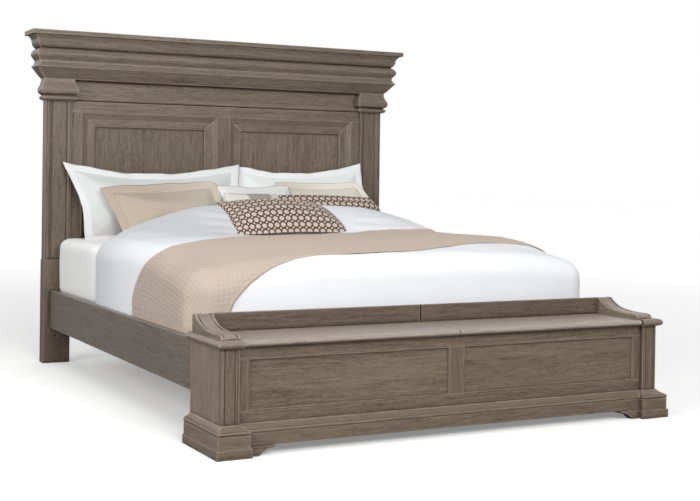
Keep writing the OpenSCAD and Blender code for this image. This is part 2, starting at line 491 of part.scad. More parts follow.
post_left();
post_right();
capitals();
astragals();
crown_top_board();
crown_cyma();
crown_torus();
crown_bed_mould();
crown_packing_board();
frieze_board();
frieze_bead();
head_top_rail();
head_bottom_rail();
head_centre_stile();
head_side_stiles();
head_panel_left();
head_panel_right();
head_panel_mouldings();
side_rail_left();
side_rail_right();
rail_hook_plates();
ledger_strips();
cross_slats();
centre_beam();
centre_legs();
leg_glides();
chest_side_left();
chest_side_right();
chest_corner_posts();
chest_top_rail();
chest_bottom_rail();
chest_front_stiles();
chest_panel_left();
chest_panel_right();
chest_panel_beads();
chest_back();
chest_floor();
chest_divider();
base_rail();
base_moulding_front();
base_moulding_corners();
plinth_blocks();
plinth_shoes();
ogee_brackets();
end_caps();
scroll_ears();
rear_boards();
lid_left();
lid_right();
hinge_fixed_leaves();
hinge_leaves_left();
hinge_leaves_right();
lid_bumpers();
foundation();
mattress();
duvet();
coverlet();
sham_pillows();
quilted_shams();
small_pillows();
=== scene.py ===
import math

import bmesh
import bpy
import numpy as np
from mathutils import Matrix, Vector


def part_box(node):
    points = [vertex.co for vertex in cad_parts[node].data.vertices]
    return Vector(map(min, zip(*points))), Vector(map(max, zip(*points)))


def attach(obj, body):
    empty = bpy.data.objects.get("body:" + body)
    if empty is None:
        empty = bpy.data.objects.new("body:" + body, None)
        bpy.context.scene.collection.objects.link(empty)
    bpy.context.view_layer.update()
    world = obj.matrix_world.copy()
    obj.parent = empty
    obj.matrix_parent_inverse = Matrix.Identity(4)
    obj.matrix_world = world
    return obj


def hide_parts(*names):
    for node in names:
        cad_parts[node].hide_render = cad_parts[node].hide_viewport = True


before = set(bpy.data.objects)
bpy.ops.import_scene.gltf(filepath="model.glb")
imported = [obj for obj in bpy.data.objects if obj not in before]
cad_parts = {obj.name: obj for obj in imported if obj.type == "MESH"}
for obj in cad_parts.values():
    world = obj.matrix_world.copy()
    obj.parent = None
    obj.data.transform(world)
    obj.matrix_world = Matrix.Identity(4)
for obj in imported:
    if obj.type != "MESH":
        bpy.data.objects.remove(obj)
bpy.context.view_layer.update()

BODY = "bed_frame"
Y0 = 916.0          # the layout below is in mm from the back face of the chest; the frame is centred on the footprint
MM = 0.001


# ------------------------------------------------------------------ camera
def aim_camera():
    yaw, pitch, roll = 0.4649, 0.0082, 0.0134
    fwd = Vector((math.sin(yaw) * math.cos(pitch), math.cos(yaw) * math.cos(pitch), -math.sin(pitch)))
    right = Vector((math.cos(yaw), -math.sin(yaw), 0))
    up = right.cross(fwd)
    r2 = right * math.cos(roll) + up * math.sin(roll)
    u2 = up * math.cos(roll) - right * math.sin(roll)
    data = bpy.data.cameras.new("view")
    cam = bpy.data.objects.new("view", data)
    bpy.context.scene.collection.objects.link(cam)
    cam.matrix_world = Matrix.Translation((-2.70996, -5.23145, 1.00877)) @ Matrix((r2, u2, -fwd)).transposed().to_4x4()
    data.sensor_fit = "HORIZONTAL"
    data.sensor_width = 36.0
    data.lens = 62.84
    data.shift_x = 0.0675
    data.shift_y = -0.0912
    data.clip_end = 100.0
    bpy.context.scene.camera = cam


aim_camera()


# ------------------------------------------------------------------ node helpers
class Mat:
    """A small builder for a node material around one Principled shader."""

    def __init__(self, name, rough=0.5, **sockets):
        self.m = bpy.data.materials.new(name)
        self.m.use_nodes = True
        self.t = self.m.node_tree
        self.t.nodes.clear()
        self.out = self.t.nodes.new("ShaderNodeOutputMaterial")
        self.p = self.t.nodes.new("ShaderNodeBsdfPrincipled")
        self.t.links.new(self.p.outputs[0], self.out.inputs[0])
        self.p.inputs["Roughness"].default_value = rough
        for k, v in sockets.items():
            self.p.inputs[k.replace("_", " ")].default_value = v
        self.tc = self.t.nodes.new("ShaderNodeTexCoord")

    def node(self, kind, **props):
        n = self.t.nodes.new(kind)
        for k, v in props.items():
            setattr(n, k, v)
        return n

    def put(self, socket, v):
        if isinstance(v, bpy.types.NodeSocket):
            self.t.links.new(v, socket)
        elif v is not None:
            socket.default_value = v

    def math(self, op, a, b=None, c=None, clamp=False):
        n = self.node("ShaderNodeMath", operation=op, use_clamp=clamp)
        for s, v in zip(n.inputs, (a, b, c)):
            self.put(s, v)
        return n.outputs[0]

    def vmath(self, op, a, b=None):
        n = self.node("ShaderNodeVectorMath", operation=op)
        self.put(n.inputs[0], a)
        self.put(n.inputs[1], b)
        return n.outputs["Value"] if op in ("LENGTH", "DOT_PRODUCT", "DISTANCE") else n.outputs[0]

    def xyz(self, v):
        n = self.node("ShaderNodeSeparateXYZ")
        self.put(n.inputs[0], v)
        return n.outputs[0], n.outputs[1], n.outputs[2]

    def vec(self, x, y, z):
        n = self.node("ShaderNodeCombineXYZ")
        for s, v in zip(n.inputs, (x, y, z)):
            self.put(s, v)
        return n.outputs[0]

    def scaled(self, v, s, loc=(0, 0, 0)):
        n = self.node("ShaderNodeMapping")
        self.put(n.inputs[0], v)
        n.inputs["Scale"].default_value = s
        n.inputs["Location"].default_value = loc
        return n.outputs[0]

    def noise(self, v, scale=1.0, detail=2.0, rough=0.5, dist=0.0):
        n = self.node("ShaderNodeTexNoise")
        self.put(n.inputs["Vector"], v)
        n.inputs["Scale"].default_value = scale
        n.inputs["Detail"].default_value = detail
        n.inputs["Roughness"].default_value = rough
        n.inputs["Distortion"].default_value = dist
        return n.outputs[0]

    def fit(self, v, a, b, c=0.0, d=1.0):
        n = self.node("ShaderNodeMapRange", clamp=True)
        self.put(n.inputs[0], v)
        for s, x in zip(n.inputs[1:5], (a, b, c, d)):
            s.default_value = x
        return n.outputs[0]

    def ramp(self, fac, stops, mode="LINEAR"):
        n = self.node("ShaderNodeValToRGB")
        n.color_ramp.interpolation = mode
        while len(n.color_ramp.elements) < len(stops):
            n.color_ramp.elements.new(0.5)
        for e, (pos, col) in zip(n.color_ramp.elements, stops):
            e.position = pos
            e.color = (*col, 1.0) if len(col) == 3 else col
        self.put(n.inputs[0], fac)
        return n.outputs[0]

    def mix(self, fac, a, b, kind="MIX"):
        n = self.node("ShaderNodeMix", data_type="RGBA", blend_type=kind)
        self.put(n.inputs[0], fac)
        for s, v in ((n.inputs[6], a), (n.inputs[7], b)):
            self.put(s, (*v, 1.0) if isinstance(v, tuple) and len(v) == 3 else v)
        return n.outputs[2]

    def bump(self, height, strength=0.3, distance=0.001):
        n = self.node("ShaderNodeBump")
        n.inputs["Strength"].default_value = strength
        n.inputs["Distance"].default_value = distance
        self.put(n.inputs["Height"], height)
        self.t.links.new(n.outputs[0], self.p.inputs["Normal"])

    def ao(self, distance, inside=False, samples=6):
        n = self.node("ShaderNodeAmbientOcclusion", inside=inside, only_local=False, samples=samples)
        n.inputs["Distance"].default_value = distance
        return n.outputs["AO"]

    def colour(self, c):
        self.put(self.p.inputs["Base Color"], c)


def lin(r, g, b, k=1.0):
    """An sRGB colour given as 0-255 numbers, as linear light."""
    f = lambda c: c / 12.92 if c <= 0.04045 else ((c + 0.055) / 1.055) ** 2.4
    return tuple(min(1.0, f(c / 255.0) * k) for c in (r, g, b))


# ------------------------------------------------------------------ wood
def wood(name, grain="X", mid=(118, 105, 94), k=1.0, seed=0.0, figure=0.35, ring=0.020, mitre=None, glaze_and_shade=1.0,
         arris_wear_and_highlight=1.0, smooth=False, contrast=1.0, centre=(0.0, 0.0), sheen=0.5):
    """Wire-brushed, glazed oak with painted shade in its corners, painted highlights on its arrises and painted top
    light on upward faces. grain is the board's long axis; mitre=(second axis, rule) turns the grain on returns.
    """
    m = Mat(name, rough=0.5)
    x, y, z = m.xyz(m.tc.outputs["Object"])
    frames = {"X": (y, z, x), "Y": (x, z, y), "Z": (x, y, z)}
    c1, c2, g = frames[grain]
    q = m.vec(c1, c2, g)
    if mitre:
        axis, rule = mitre
        d1, d2, h = frames[axis]
        if rule == "normal":          # the return's face looks along X
            nx, ny, _ = m.xyz(m.node("ShaderNodeNewGeometry").outputs["True Normal"])
            turn = m.math("GREATER_THAN", m.math("ABSOLUTE", nx), m.math("ABSOLUTE", ny))
        else:                          # a picture frame: (x centre, half width, z centre, half height)
            xc, hw, zc, hh = rule
            dx = m.math("SUBTRACT", m.math("ABSOLUTE", m.math("SUBTRACT", m.math("ABSOLUTE", x), xc)), hw)
            dz = m.math("SUBTRACT", m.math("ABSOLUTE", m.math("SUBTRACT", z, zc)), hh)
            turn = m.math("GREATER_THAN", dx, dz)
        n = m.node("ShaderNodeMix", data_type="VECTOR")
        m.put(n.inputs[0], turn)
        m.put(n.inputs[4], q)
        m.put(n.inputs[5], m.vec(d1, d2, h))
        q = n.outputs[1]
    q = m.scaled(q, (1, 1, 1), (seed * 1.7, seed * 2.3, seed * 3.1))
    # slow bending of the fibres along the board
    bend = m.noise(m.scaled(q, (3.0, 3.0, 1.1)), detail=2.0)
    bend2 = m.noise(m.scaled(q, (22.0, 22.0, 3.0), (4, 4, 4)), detail=2.0)
    a1, a2, a3 = m.xyz(q)
    off = m.math("ADD", m.math("MULTIPLY", m.math("SUBTRACT", bend, 0.5), 0.036),
                 m.math("MULTIPLY", m.math("SUBTRACT", bend2, 0.5), 0.007))
    b1 = m.math("ADD", a1, off)
    b2 = m.math("ADD", a2, off)
    w = m.vec(b1, b2, a3)
    # growth rings: nested long cones, so that a flat face shows cathedrals
    ox, oz = centre
    r1 = m.math("SUBTRACT", b1, seed * 1.7 + ox)
    r2 = m.math("SUBTRACT", b2, seed * 2.3 + oz)
    slow = m.noise(m.scaled(q, (1.6, 1.6, 0.9), (9, 2, 5)), detail=1.0)
    dist = m.vmath("LENGTH", m.vec(m.math("MULTIPLY", r1, 1.0), m.math("MULTIPLY", r2, 1.0),
                                   m.math("MULTIPLY", m.math("SUBTRACT", slow, 0.5), 0.55)))
    phase = m.math("DIVIDE", dist, ring)
    saw = m.math("FRACT", phase)
    rings = m.ramp(saw, [(0.0, (0.25,) * 3), (0.12, (0.75,) * 3), (0.55, (0.60,) * 3), (0.86, (0.42,) * 3), (1.0, (0.22,) * 3)], "EASE")
    # streaks, fibres and open pores
    streak = m.noise(m.scaled(w, (140, 140, 7.5)), detail=4.0, rough=0.62)
    fibre = m.noise(m.scaled(w, (420, 420, 28.0), (3, 7, 1)), detail=3.0, rough=0.6)
    fleck = m.noise(m.scaled(w, (230, 230, 52.0), (8, 1, 5)), detail=3.0, rough=0.7)
    pore = m.fit(m.noise(m.scaled(w, (620, 620, 17.0), (1, 5, 2)), detail=1.0), 0.60, 0.70)
    blotch = m.noise(m.scaled(q, (5, 5, 1.6), (6, 6, 6)), detail=3.0, rough=0.55)
    tone = m.math("ADD", m.math("MULTIPLY", m.math("SUBTRACT", streak, 0.5), 1.35 * contrast),
                  m.math("MULTIPLY", m.math("SUBTRACT", fibre, 0.5), 1.0 * contrast))
    tone = m.math("ADD", tone, m.math("MULTIPLY", m.math("SUBTRACT", fleck, 0.5), 1.2 * contrast))
    tone = m.math("ADD", tone, m.math("MULTIPLY", m.math("SUBTRACT", rings, 0.52), 0.5 * figure))
    tone = m.math("ADD", tone, m.math("MULTIPLY", m.math("SUBTRACT", blotch, 0.5), 0.42 * contrast))
    tone = m.math("ADD", m.math("MULTIPLY", tone, 0.9), 0.5, clamp=True)
    r, g_, b = lin(*mid, k * 0.93)
    g_, b = g_ * 0.972, b * 0.90
    col = m.ramp(tone, [(0.0, (r * 0.36, g_ * 0.33, b * 0.31)), (0.30, (r * 0.74, g_ * 0.72, b * 0.70)), (0.5, (r, g_, b)),
                        (0.72, (r * 1.22, g_ * 1.23, b * 1.25)), (1.0, (r * 1.5, g_ * 1.55, b * 1.62))])
    col = m.mix(m.math("MULTIPLY", pore, 0.30 if not smooth else 0.15), col, (r * 0.30, g_ * 0.27, b * 0.25))
    # painted top light: upward faces are painted paler and greyer
    top = m.fit(m.xyz(m.node("ShaderNodeNewGeometry").outputs["True Normal"])[2], 0.25, 0.95, 0.0, 0.55)
    col = m.mix(top, col, (r * 1.32, g_ * 1.37, b * 1.50))
    # painted shade, with some dark glaze, in the corners and creases; pale arrises, partly wear and partly painted
    # highlight
    # painted shade: darker wherever the ambient occlusion finds a corner or crease
    crease = m.ao(0.019)
    crease_shade_and_glaze = m.fit(crease, 0.54, 0.94, min(0.98, 0.93 * glaze_and_shade), 0.0)
    brush = m.noise(m.scaled(w, (60, 60, 6.0), (2, 2, 8)), detail=2.0)
    crease_shade_and_glaze = m.math("MULTIPLY", crease_shade_and_glaze, m.fit(brush, 0.25, 0.7, 0.65, 1.25))
    col = m.mix(crease_shade_and_glaze, col, (r * 0.20, g_ * 0.18, b * 0.16))
    # painted highlight along the arrises, partly real wear: convex edges are painted paler
    arris = m.fit(m.ao(0.009, inside=True), 0.50, 0.92, 0.80 * arris_wear_and_highlight, 0.0)
    arris = m.math("MULTIPLY", arris, m.fit(m.noise(m.scaled(q, (30, 30, 14)), detail=3.0), 0.35, 0.62, 0.35, 1.0))
    col = m.mix(arris, col, (min(1, r * 1.95), min(1, g_ * 2.02), min(1, b * 2.15)))
    m.colour(col)
    m.put(m.p.inputs["Roughness"], m.fit(m.math("ADD", m.math("MULTIPLY", fibre, 0.6), m.math("MULTIPLY", pore, 0.4)), 0.2, 0.8,
                                         0.34 if smooth else 0.36, 0.56))
    m.p.inputs["Specular IOR Level"].default_value = sheen
    h = m.math("ADD", m.math("MULTIPLY", fibre, 0.45), m.math("MULTIPLY", streak, 0.9))
    h = m.math("SUBTRACT", m.math("ADD", h, m.math("MULTIPLY", rings, 0.35)), m.math("MULTIPLY", pore, 0.6))
    m.bump(h, 0.35 if not smooth else 0.15, 0.0007)
    return m.m


def metal(name, tint, rough, seed=0.0):
    m = Mat(name, rough=rough, Metallic=1.0)
    p = m.scaled(m.tc.outputs["Object"], (1, 1, 1), (seed, seed, seed))
    a = m.noise(p, 60.0, 4.0, 0.6)
    b = m.noise(p, 900.0, 2.0, 0.5)
    m.colour(m.ramp(a, [(0.25, tuple(c * 0.72 for c in tint)), (0.6, tint), (0.85, tuple(min(1, c * 1.15) for c in tint))]))
    m.put(m.p.inputs["Roughness"], m.fit(b, 0.3, 0.7, rough - 0.08, rough + 0.12))
    m.bump(b, 0.12, 0.0002)
    return m.m


def polymer(name, tint, rough, grain=700.0):
    m = Mat(name, rough=rough)
    p = m.tc.outputs["Object"]
    a = m.noise(p, 25.0, 3.0)
    b = m.noise(p, grain, 2.0)
    m.colour(m.ramp(a, [(0.3, tuple(c * 0.85 for c in tint)), (0.7, tuple(min(1, c * 1.12) for c in tint))]))
    m.put(m.p.inputs["Roughness"], m.fit(b, 0.3, 0.7, rough - 0.06, rough + 0.1))
    m.bump(b, 0.2, 0.0002)
    return m.m


def cloth_weave(m, scale=1500.0, use_uv=True):
    """Height of a plain weave from crossed waves; the coordinates are in metres."""
    v = m.tc.outputs["UV"] if use_uv else m.tc.outputs["Object"]
    x, y, z = m.xyz(v)
    wx = m.math("SINE", m.math("MULTIPLY", x, scale))
    wy = m.math("SINE", m.math("MULTIPLY", y if use_uv else m.math("ADD", y, z), scale))
    return m.math("MULTIPLY", wx, wy)


def cotton(name, tint=(0.86, 0.865, 0.875), shade=0.06, uv=True, rough=0.82, crease=0.25, painted_head_shade=None):
    """Smooth woven cotton with faint soft creases."""
    m = Mat(name, rough=rough)
    m.p.inputs["Sheen Weight"].default_value = 0.04
    m.p.inputs["Sheen Roughness"].default_value = 0.5
    m.p.inputs["Specular IOR Level"].default_value = 0.2
    o = m.tc.outputs["Object"]
    a = m.noise(o, 5.0, 4.0, 0.55)
    b = m.noise(m.scaled(o, (38, 22, 30)), 1.0, 5.0, 0.6, 0.6)
    dark = tuple(c * (1 - shade) for c in tint)
    col = m.ramp(m.math("ADD", m.math("MULTIPLY", a, 0.6), m.math("MULTIPLY", b, 0.4)), [(0.3, dark), (0.65, tint)])
    if painted_head_shade:
        # painted shade: towards the head end, and most on the left, the duvet is greyer
        y0, y1, k = painted_head_shade
        head_shade_mask = m.math("MULTIPLY", m.fit(m.xyz(o)[1], y0, y1, 0.0, 1.0), m.fit(m.xyz(o)[0], -0.10, 0.35, 1.0, 0.10))
        col = m.mix(head_shade_mask, col, tuple(c * k for c in tint))
    m.colour(col)
    w = cloth_weave(m, 2600.0, uv)
    m.bump(m.math("ADD", m.math("MULTIPLY", b, crease), m.math("MULTIPLY", w, 0.03)), 0.35, 0.004)
    return m.m


def border_mask(m, w, h):
    """Masks of a pillowcase flange and of its seam; the field is w x h metres, centred on the UV origin."""
    u, v, _ = m.xyz(m.tc.outputs["UV"])
    du = m.math("SUBTRACT", m.math("ABSOLUTE", u), w / 2)
    dv = m.math("SUBTRACT", m.math("ABSOLUTE", v), h / 2)
    d = m.math("MAXIMUM", du, dv)
    return m.fit(d, -0.0015, 0.0015, 0.0, 1.0), m.fit(m.math("ABSOLUTE", d), 0.001, 0.0045, 1.0, 0.0)


def sham_cloth(name, field, border, w, h):
    """White pillowcase cotton whose flange is a shade brighter than its field, with painted shade towards its lower
    edge.
    """
    m = Mat(name, rough=0.8)
    m.p.inputs["Sheen Weight"].default_value = 0.15
    out, seam = border_mask(m, w, h)
    b = m.noise(m.scaled(m.tc.outputs["Object"], (30, 20, 26)), 1.0, 5.0, 0.6, 0.6)
    soft = m.noise(m.tc.outputs["Object"], 4.0, 3.0)
    a = m.ramp(soft, [(0.3, tuple(c * 0.95 for c in field)), (0.7, field)])
    # painted shade: the lower part of the field and of the flange is darker
    low = m.fit(m.xyz(m.tc.outputs["UV"])[1], -0.26, 0.02, 1.0, 0.0)
    a = m.mix(low, a, tuple(field[0] * k for k in (0.71, 0.70, 0.69)))
    border = m.mix(low, tuple(border), tuple(border[0] * k for k in (0.84, 0.83, 0.825)))
    c = m.mix(out, a, border)
    m.colour(m.mix(m.math("MULTIPLY", seam, 0.13), c, tuple(x * 0.55 for x in field)))
    hgt = m.math("SUBTRACT", m.math("ADD", m.math("MULTIPLY", b, 0.3), m.math("MULTIPLY", cloth_weave(m, 2600.0), 0.03)),
                 m.math("MULTIPLY", seam, 0.4))
    m.bump(hgt, 0.35, 0.004)
    return m.m


def quilt_cloth(name, tint, cell=0.015, line=0.10, field=None, fade=None, far=None, ribs=False):
    """Matelasse cotton: a fine square quilting over a plain ground, with painted shade along the stitch lines."""
    m = Mat(name, rough=0.74)
    m.p.inputs["Sheen Weight"].default_value = 0.06
    m.p.inputs["Sheen Roughness"].default_value = 0.4
    u, v, _ = m.xyz(m.tc.outputs["UV"])

    def valley(c):
        f = m.math("FRACT", m.math("ADD", m.math("DIVIDE", c, cell), 0.5))
        return m.math("ABSOLUTE", m.math("MULTIPLY", m.math("SUBTRACT", f, 0.5), 2.0))   # 0 on a stitch line
    low = m.math("MINIMUM", valley(u), valley(v))
    stitch_shade = m.fit(low, 0.05, 0.34, 1.0, 0.0)
    if ribs:
        # on the hanging side every second cross line is a heavier one
        pair = m.math("FRACT", m.math("ADD", m.math("DIVIDE", v, cell * 2), 0.5))
        pair = m.math("ABSOLUTE", m.math("MULTIPLY", m.math("SUBTRACT", pair, 0.5), 2.0))
        heavy = m.math("MULTIPLY", m.fit(pair, 0.10, 0.42, 1.7, 0.0), m.math("MULTIPLY", m.fit(u, -0.93, -0.86, 1.0, 0.0), m.fit(v, 0.12, 0.24, 0.0, 1.0)))
        stitch_shade = m.math("MAXIMUM", stitch_shade, heavy)
    o = m.tc.outputs["Object"]
    a = m.noise(o, 6.0, 3.0)
    slub = m.noise(m.scaled(m.tc.outputs["UV"], (260, 900, 1)), 1.0, 3.0)
    base = m.ramp(m.math("ADD", m.math("MULTIPLY", a, 0.6), m.math("MULTIPLY", slub, 0.4)),
                  [(0.3, tuple(c * 0.93 for c in tint)), (0.7, tuple(min(1, c * 1.05) for c in tint))])
    if ribs:
        # painted sheen: the flat top of the cover is painted a shade paler
        painted_top_sheen = m.fit(m.xyz(o)[2], 0.655, 0.725, 0.0, 1.0)
        base = m.mix(painted_top_sheen, base, tuple(min(1, c * 1.10) for c in tint))
    if fade:
        # towards one side the cloth catches more light and its pattern shows more
        side = m.fit(u, fade[0], fade[1], 0.0, 1.0)
        base = m.mix(side, base, far)
        stitch_shade = m.math("MULTIPLY", stitch_shade, m.math("ADD", 0.25, m.math("MULTIPLY", side, 1.1)))
    body = m.math("POWER", low, 0.5)
    if field:
        out, seam = border_mask(m, *field)
        stitch_shade = m.math("MULTIPLY", stitch_shade, m.math("SUBTRACT", 1.0, out))
        body = m.math("MULTIPLY", body, m.math("SUBTRACT", 1.0, out))
    # painted shade in the stitch valleys
    col = m.mix(m.math("MULTIPLY", stitch_shade, line), base, tuple(c * 0.45 for c in tint))
    if field:
        col = m.mix(m.math("MULTIPLY", seam, 0.24), col, tuple(c * 0.50 for c in tint))
        body = m.math("SUBTRACT", body, m.math("MULTIPLY", seam, 0.8))
    m.colour(col)
    h = m.math("ADD", body, m.math("MULTIPLY", cloth_weave(m, 3200.0), 0.08))
    m.bump(h, 0.28, 0.0012)
    return m.m


def banded_cloth(name, plain, band, lo, hi):
    """A small pillow's cotton with an upright band of ruched grey cloth across its field."""
    m = Mat(name, rough=0.8)
    m.p.inputs["Sheen Weight"].default_value = 0.15
    u, v, _ = m.xyz(m.tc.outputs["UV"])
    inside = m.math("MULTIPLY", m.fit(u, lo, lo + 0.003, 0.0, 1.0), m.fit(u, hi - 0.003, hi, 1.0, 0.0))
    ruche = m.noise(m.scaled(m.tc.outputs["UV"], (150, 60, 1)), 1.0, 4.0, 0.6, 1.2)
    # painted shade: the low parts of the gathers are darker
    grey = m.ramp(ruche, [(0.35, tuple(c * 0.45 for c in band)), (0.62, band)])
    fine = m.noise(m.scaled(m.tc.outputs["UV"], (60, 60, 1)), 1.0, 4.0)
    white = m.ramp(fine, [(0.3, tuple(c * 0.92 for c in plain)), (0.7, plain)])
    m.colour(m.mix(inside, white, grey))
    m.bump(m.math("ADD", m.math("MULTIPLY", m.math("MULTIPLY", ruche, inside), 1.0), m.math("MULTIPLY", fine, 0.15)), 0.5, 0.004)
    return m.m


def chain_print(name):
    """A common geometric print: pale ovals in a brown lattice with small pale dots at the crossings."""
    m = Mat(name, rough=0.72)
    m.p.inputs["Sheen Weight"].default_value = 0.2
    u, v, _ = m.xyz(m.tc.outputs["UV"])
    px, py = 0.037, 0.037

    def cellxy(sx, sy):
        cu = m.math("SUBTRACT", m.math("FRACT", m.math("ADD", m.math("DIVIDE", u, px), sx)), 0.5)
        cv = m.math("SUBTRACT", m.math("FRACT", m.math("ADD", m.math("DIVIDE", v, py), sy)), 0.5)
        return cu, cv
    wob = m.math("MULTIPLY", m.math("SUBTRACT", m.noise(m.scaled(m.tc.outputs["UV"], (90, 90, 1)), 1.0, 2.0), 0.5), 0.10)

    def oval(sx, sy, rx, ry):
        cu, cv = cellxy(sx, sy)
        d = m.vmath("LENGTH", m.vec(m.math("DIVIDE", cu, rx), m.math("DIVIDE", cv, ry), 0.0))
        return m.math("ADD", d, wob)
    big = m.fit(oval(0.5, 0.5, 0.365, 0.335), 0.95, 1.05, 1.0, 0.0)
    inner = m.fit(oval(0.5, 0.5, 0.29, 0.25), 0.86, 1.14, 1.0, 0.0)
    dot = m.fit(oval(0.0, 0.0, 0.15, 0.15), 0.86, 1.14, 1.0, 0.0)
    fine = m.noise(m.scaled(m.tc.outputs["UV"], (900, 900, 1)), 1.0, 2.0)
    ground = m.ramp(fine, [(0.3, lin(64, 46, 41)), (0.7, lin(92, 71, 63))])
    cream = m.ramp(fine, [(0.3, lin(206, 188, 172)), (0.7, lin(224, 207, 192))])
    taupe = m.ramp(fine, [(0.3, lin(196, 177, 160)), (0.7, lin(212, 194, 178))])
    col = m.mix(big, ground, cream)
    col = m.mix(inner, col, taupe)
    col = m.mix(dot, col, cream)
    m.colour(col)
    m.bump(m.math("ADD", cloth_weave(m, 2800.0), m.math("MULTIPLY", m.math("MAXIMUM", big, dot), 1.5)), 0.25, 0.0006)
    return m.m


# ------------------------------------------------------------------ floor and light
def studio():
    me = bpy.data.meshes.new("studio_floor")
    s = 60.0
    me.from_pydata([(-s, -s, 0), (s, -s, 0), (s, s, 0), (-s, s, 0)], [], [(0, 1, 2, 3)])
    floor = bpy.data.objects.new("studio_floor", me)
    bpy.context.scene.collection.objects.link(floor)
    m = Mat("studio_floor", rough=0.9)
    n = m.noise(m.tc.outputs["Object"], 0.6, 2.0)
    m.colour(m.ramp(n, [(0.3, (0.94, 0.94, 0.94)), (0.7, (0.96, 0.96, 0.96))]))
    # the sweep of the backdrop stays white far away, and the paper sends only part of the light back up
    far = m.fit(m.vmath("LENGTH", m.tc.outputs["Object"]), 2.6, 8.5, 0.24, 0.52)
    m.p.inputs["Emission Color"].default_value = (1, 1, 1, 1)
    m.put(m.p.inputs["Emission Strength"], far)
    grey = m.node("ShaderNodeBsdfDiffuse")
    grey.inputs[0].default_value = (0.30, 0.30, 0.30, 1)
    seen = m.node("ShaderNodeMixShader")
    m.t.links.new(m.node("ShaderNodeLightPath").outputs["Is Camera Ray"], seen.inputs[0])
    m.t.links.new(grey.outputs[0], seen.inputs[1])
    m.t.links.new(m.p.outputs[0], seen.inputs[2])
    m.t.links.new(seen.outputs[0], m.out.inputs[0])
    me.materials.append(m.m)
    w = bpy.data.worlds.new("studio")
    bpy.context.scene.world = w
    w.use_nodes = True
    t = w.node_tree
    t.nodes.clear()
    out = t.nodes.new("ShaderNodeOutputWorld")
    soft, back, mix, ray = (t.nodes.new(k) for k in ("ShaderNodeBackground", "ShaderNodeBackground", "ShaderNodeMixShader", "ShaderNodeLightPath"))
    # the light of a white studio: a broad ceiling that is brightest overhead
    tc, sep, up, sq, gain = (t.nodes.new(k) for k in ("ShaderNodeTexCoord", "ShaderNodeSeparateXYZ", "ShaderNodeMath", "ShaderNodeMath", "ShaderNodeMath"))
    t.links.new(tc.outputs["Generated"], sep.inputs[0])
    up.operation, sq.operation, gain.operation = "MAXIMUM", "POWER", "MULTIPLY_ADD"
    t.links.new(sep.outputs[2], up.inputs[0])
    up.inputs[1].default_value = 0.0
    t.links.new(up.outputs[0], sq.inputs[0])
    sq.inputs[1].default_value = 2.0
    t.links.new(sq.outputs[0], gain.inputs[0])
    gain.inputs[1].default_value = 0.27
    gain.inputs[2].default_value = 0.34
    t.links.new(gain.outputs[0], soft.inputs[1])
    soft.inputs[0].default_value = (1, 1, 1, 1)
    back.inputs[0].default_value = (1, 1, 1, 1)
    back.inputs[1].default_value = 1.0
    # a satin finish mirrors the white backdrop that stands behind the bed
    lean, bright, pick = (t.nodes.new(k) for k in ("ShaderNodeMapRange", "ShaderNodeBackground", "ShaderNodeMixShader"))
    t.links.new(sep.outputs[1], lean.inputs[0])
    for i, v in enumerate((-0.25, 0.45, 0.45, 1.05)):
        lean.inputs[1 + i].default_value = v
    bright.inputs[0].default_value = (1, 1, 1, 1)
    t.links.new(lean.outputs[0], bright.inputs[1])
    t.links.new(ray.outputs["Is Glossy Ray"], pick.inputs[0])
    t.links.new(soft.outputs[0], pick.inputs[1])
    t.links.new(bright.outputs[0], pick.inputs[2])
    t.links.new(ray.outputs["Is Camera Ray"], mix.inputs[0])
    t.links.new(pick.outputs[0], mix.inputs[1])
    t.links.new(back.outputs[0], mix.inputs[2])
    t.links.new(mix.outputs[0], out.inputs[0])
    for name, at, to, size, power in (
        ("left_softbox", (-5.7, -2.2, 2.85), (0, 0.0, 0.8), (3.4, 2.8), 178),
        ("front_softbox", (-0.8, -6.7, 3.9), (0, 0.4, 0.8), (3.6, 2.6), 318),
    ):
        d = bpy.data.lights.new(name, "AREA")
        d.shape = "RECTANGLE"
        d.size, d.size_y = size
        d.energy = power
        o = bpy.data.objects.new(name, d)
        o.location = at
        o.rotation_euler = (Vector(to) - Vector(at)).to_track_quat("-Z", "Y").to_euler()
        bpy.context.scene.collection.objects.link(o)
    bpy.context.scene.view_settings.view_transform = "Standard"


studio()


# ------------------------------------------------------------------ finishes of the rigid pieces
def dress(node, material, soften=None):
    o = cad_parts[node]
    o.data.materials.clear()
    o.data.materials.append(material)
    for p in o.data.polygons:
        p.material_index = 0
    if soften:
        w = o.modifiers.new("weld", "WELD")
        w.merge_threshold = 0.00002
        b = o.modifiers.new("arris", "BEVEL")
        b.width = soften
        b.segments = 2
        b.limit_method = "ANGLE"
        b.angle_limit = math.radians(50)
        b.harden_normals = False
    return o


HEAD = (119, 107, 96)
CHEST = (115, 102, 89)
TOP = (124, 113, 103)
dress("crown_top_board", wood("cornice_top_oak", "X", TOP, seed=1.3, figure=0.3), 0.0012)
for i, n in enumerate(("crown_cyma", "crown_torus", "crown_bed_mould")):
    dress(n, wood(n + "_oak", "X", TOP, seed=2.1 + i, figure=0.25, mitre=("Y", "normal"), glaze_and_shade=1.2))
dress("crown_packing_board", wood("packing_oak", "X", HEAD, seed=5.2))
dress("frieze_board", wood("frieze_oak", "X", HEAD, seed=6.4, figure=0.55, ring=0.03))
dress("frieze_bead", wood("frieze_bead_oak", "X", TOP, seed=7.9, figure=0.2))
dress("head_top_rail", wood("head_top_rail_oak", "X", HEAD, seed=8.8, figure=0.4), 0.001)
dress("head_bottom_rail", wood("head_bottom_rail_oak", "X", HEAD, seed=9.3), 0.001)
dress("head_centre_stile", wood("head_centre_stile_oak", "Z", HEAD, k=0.90, seed=10.1, figure=0.4), 0.001)
dress("head_side_stiles", wood("head_side_stile_oak", "Z", HEAD, seed=11.6, figure=0.4), 0.001)
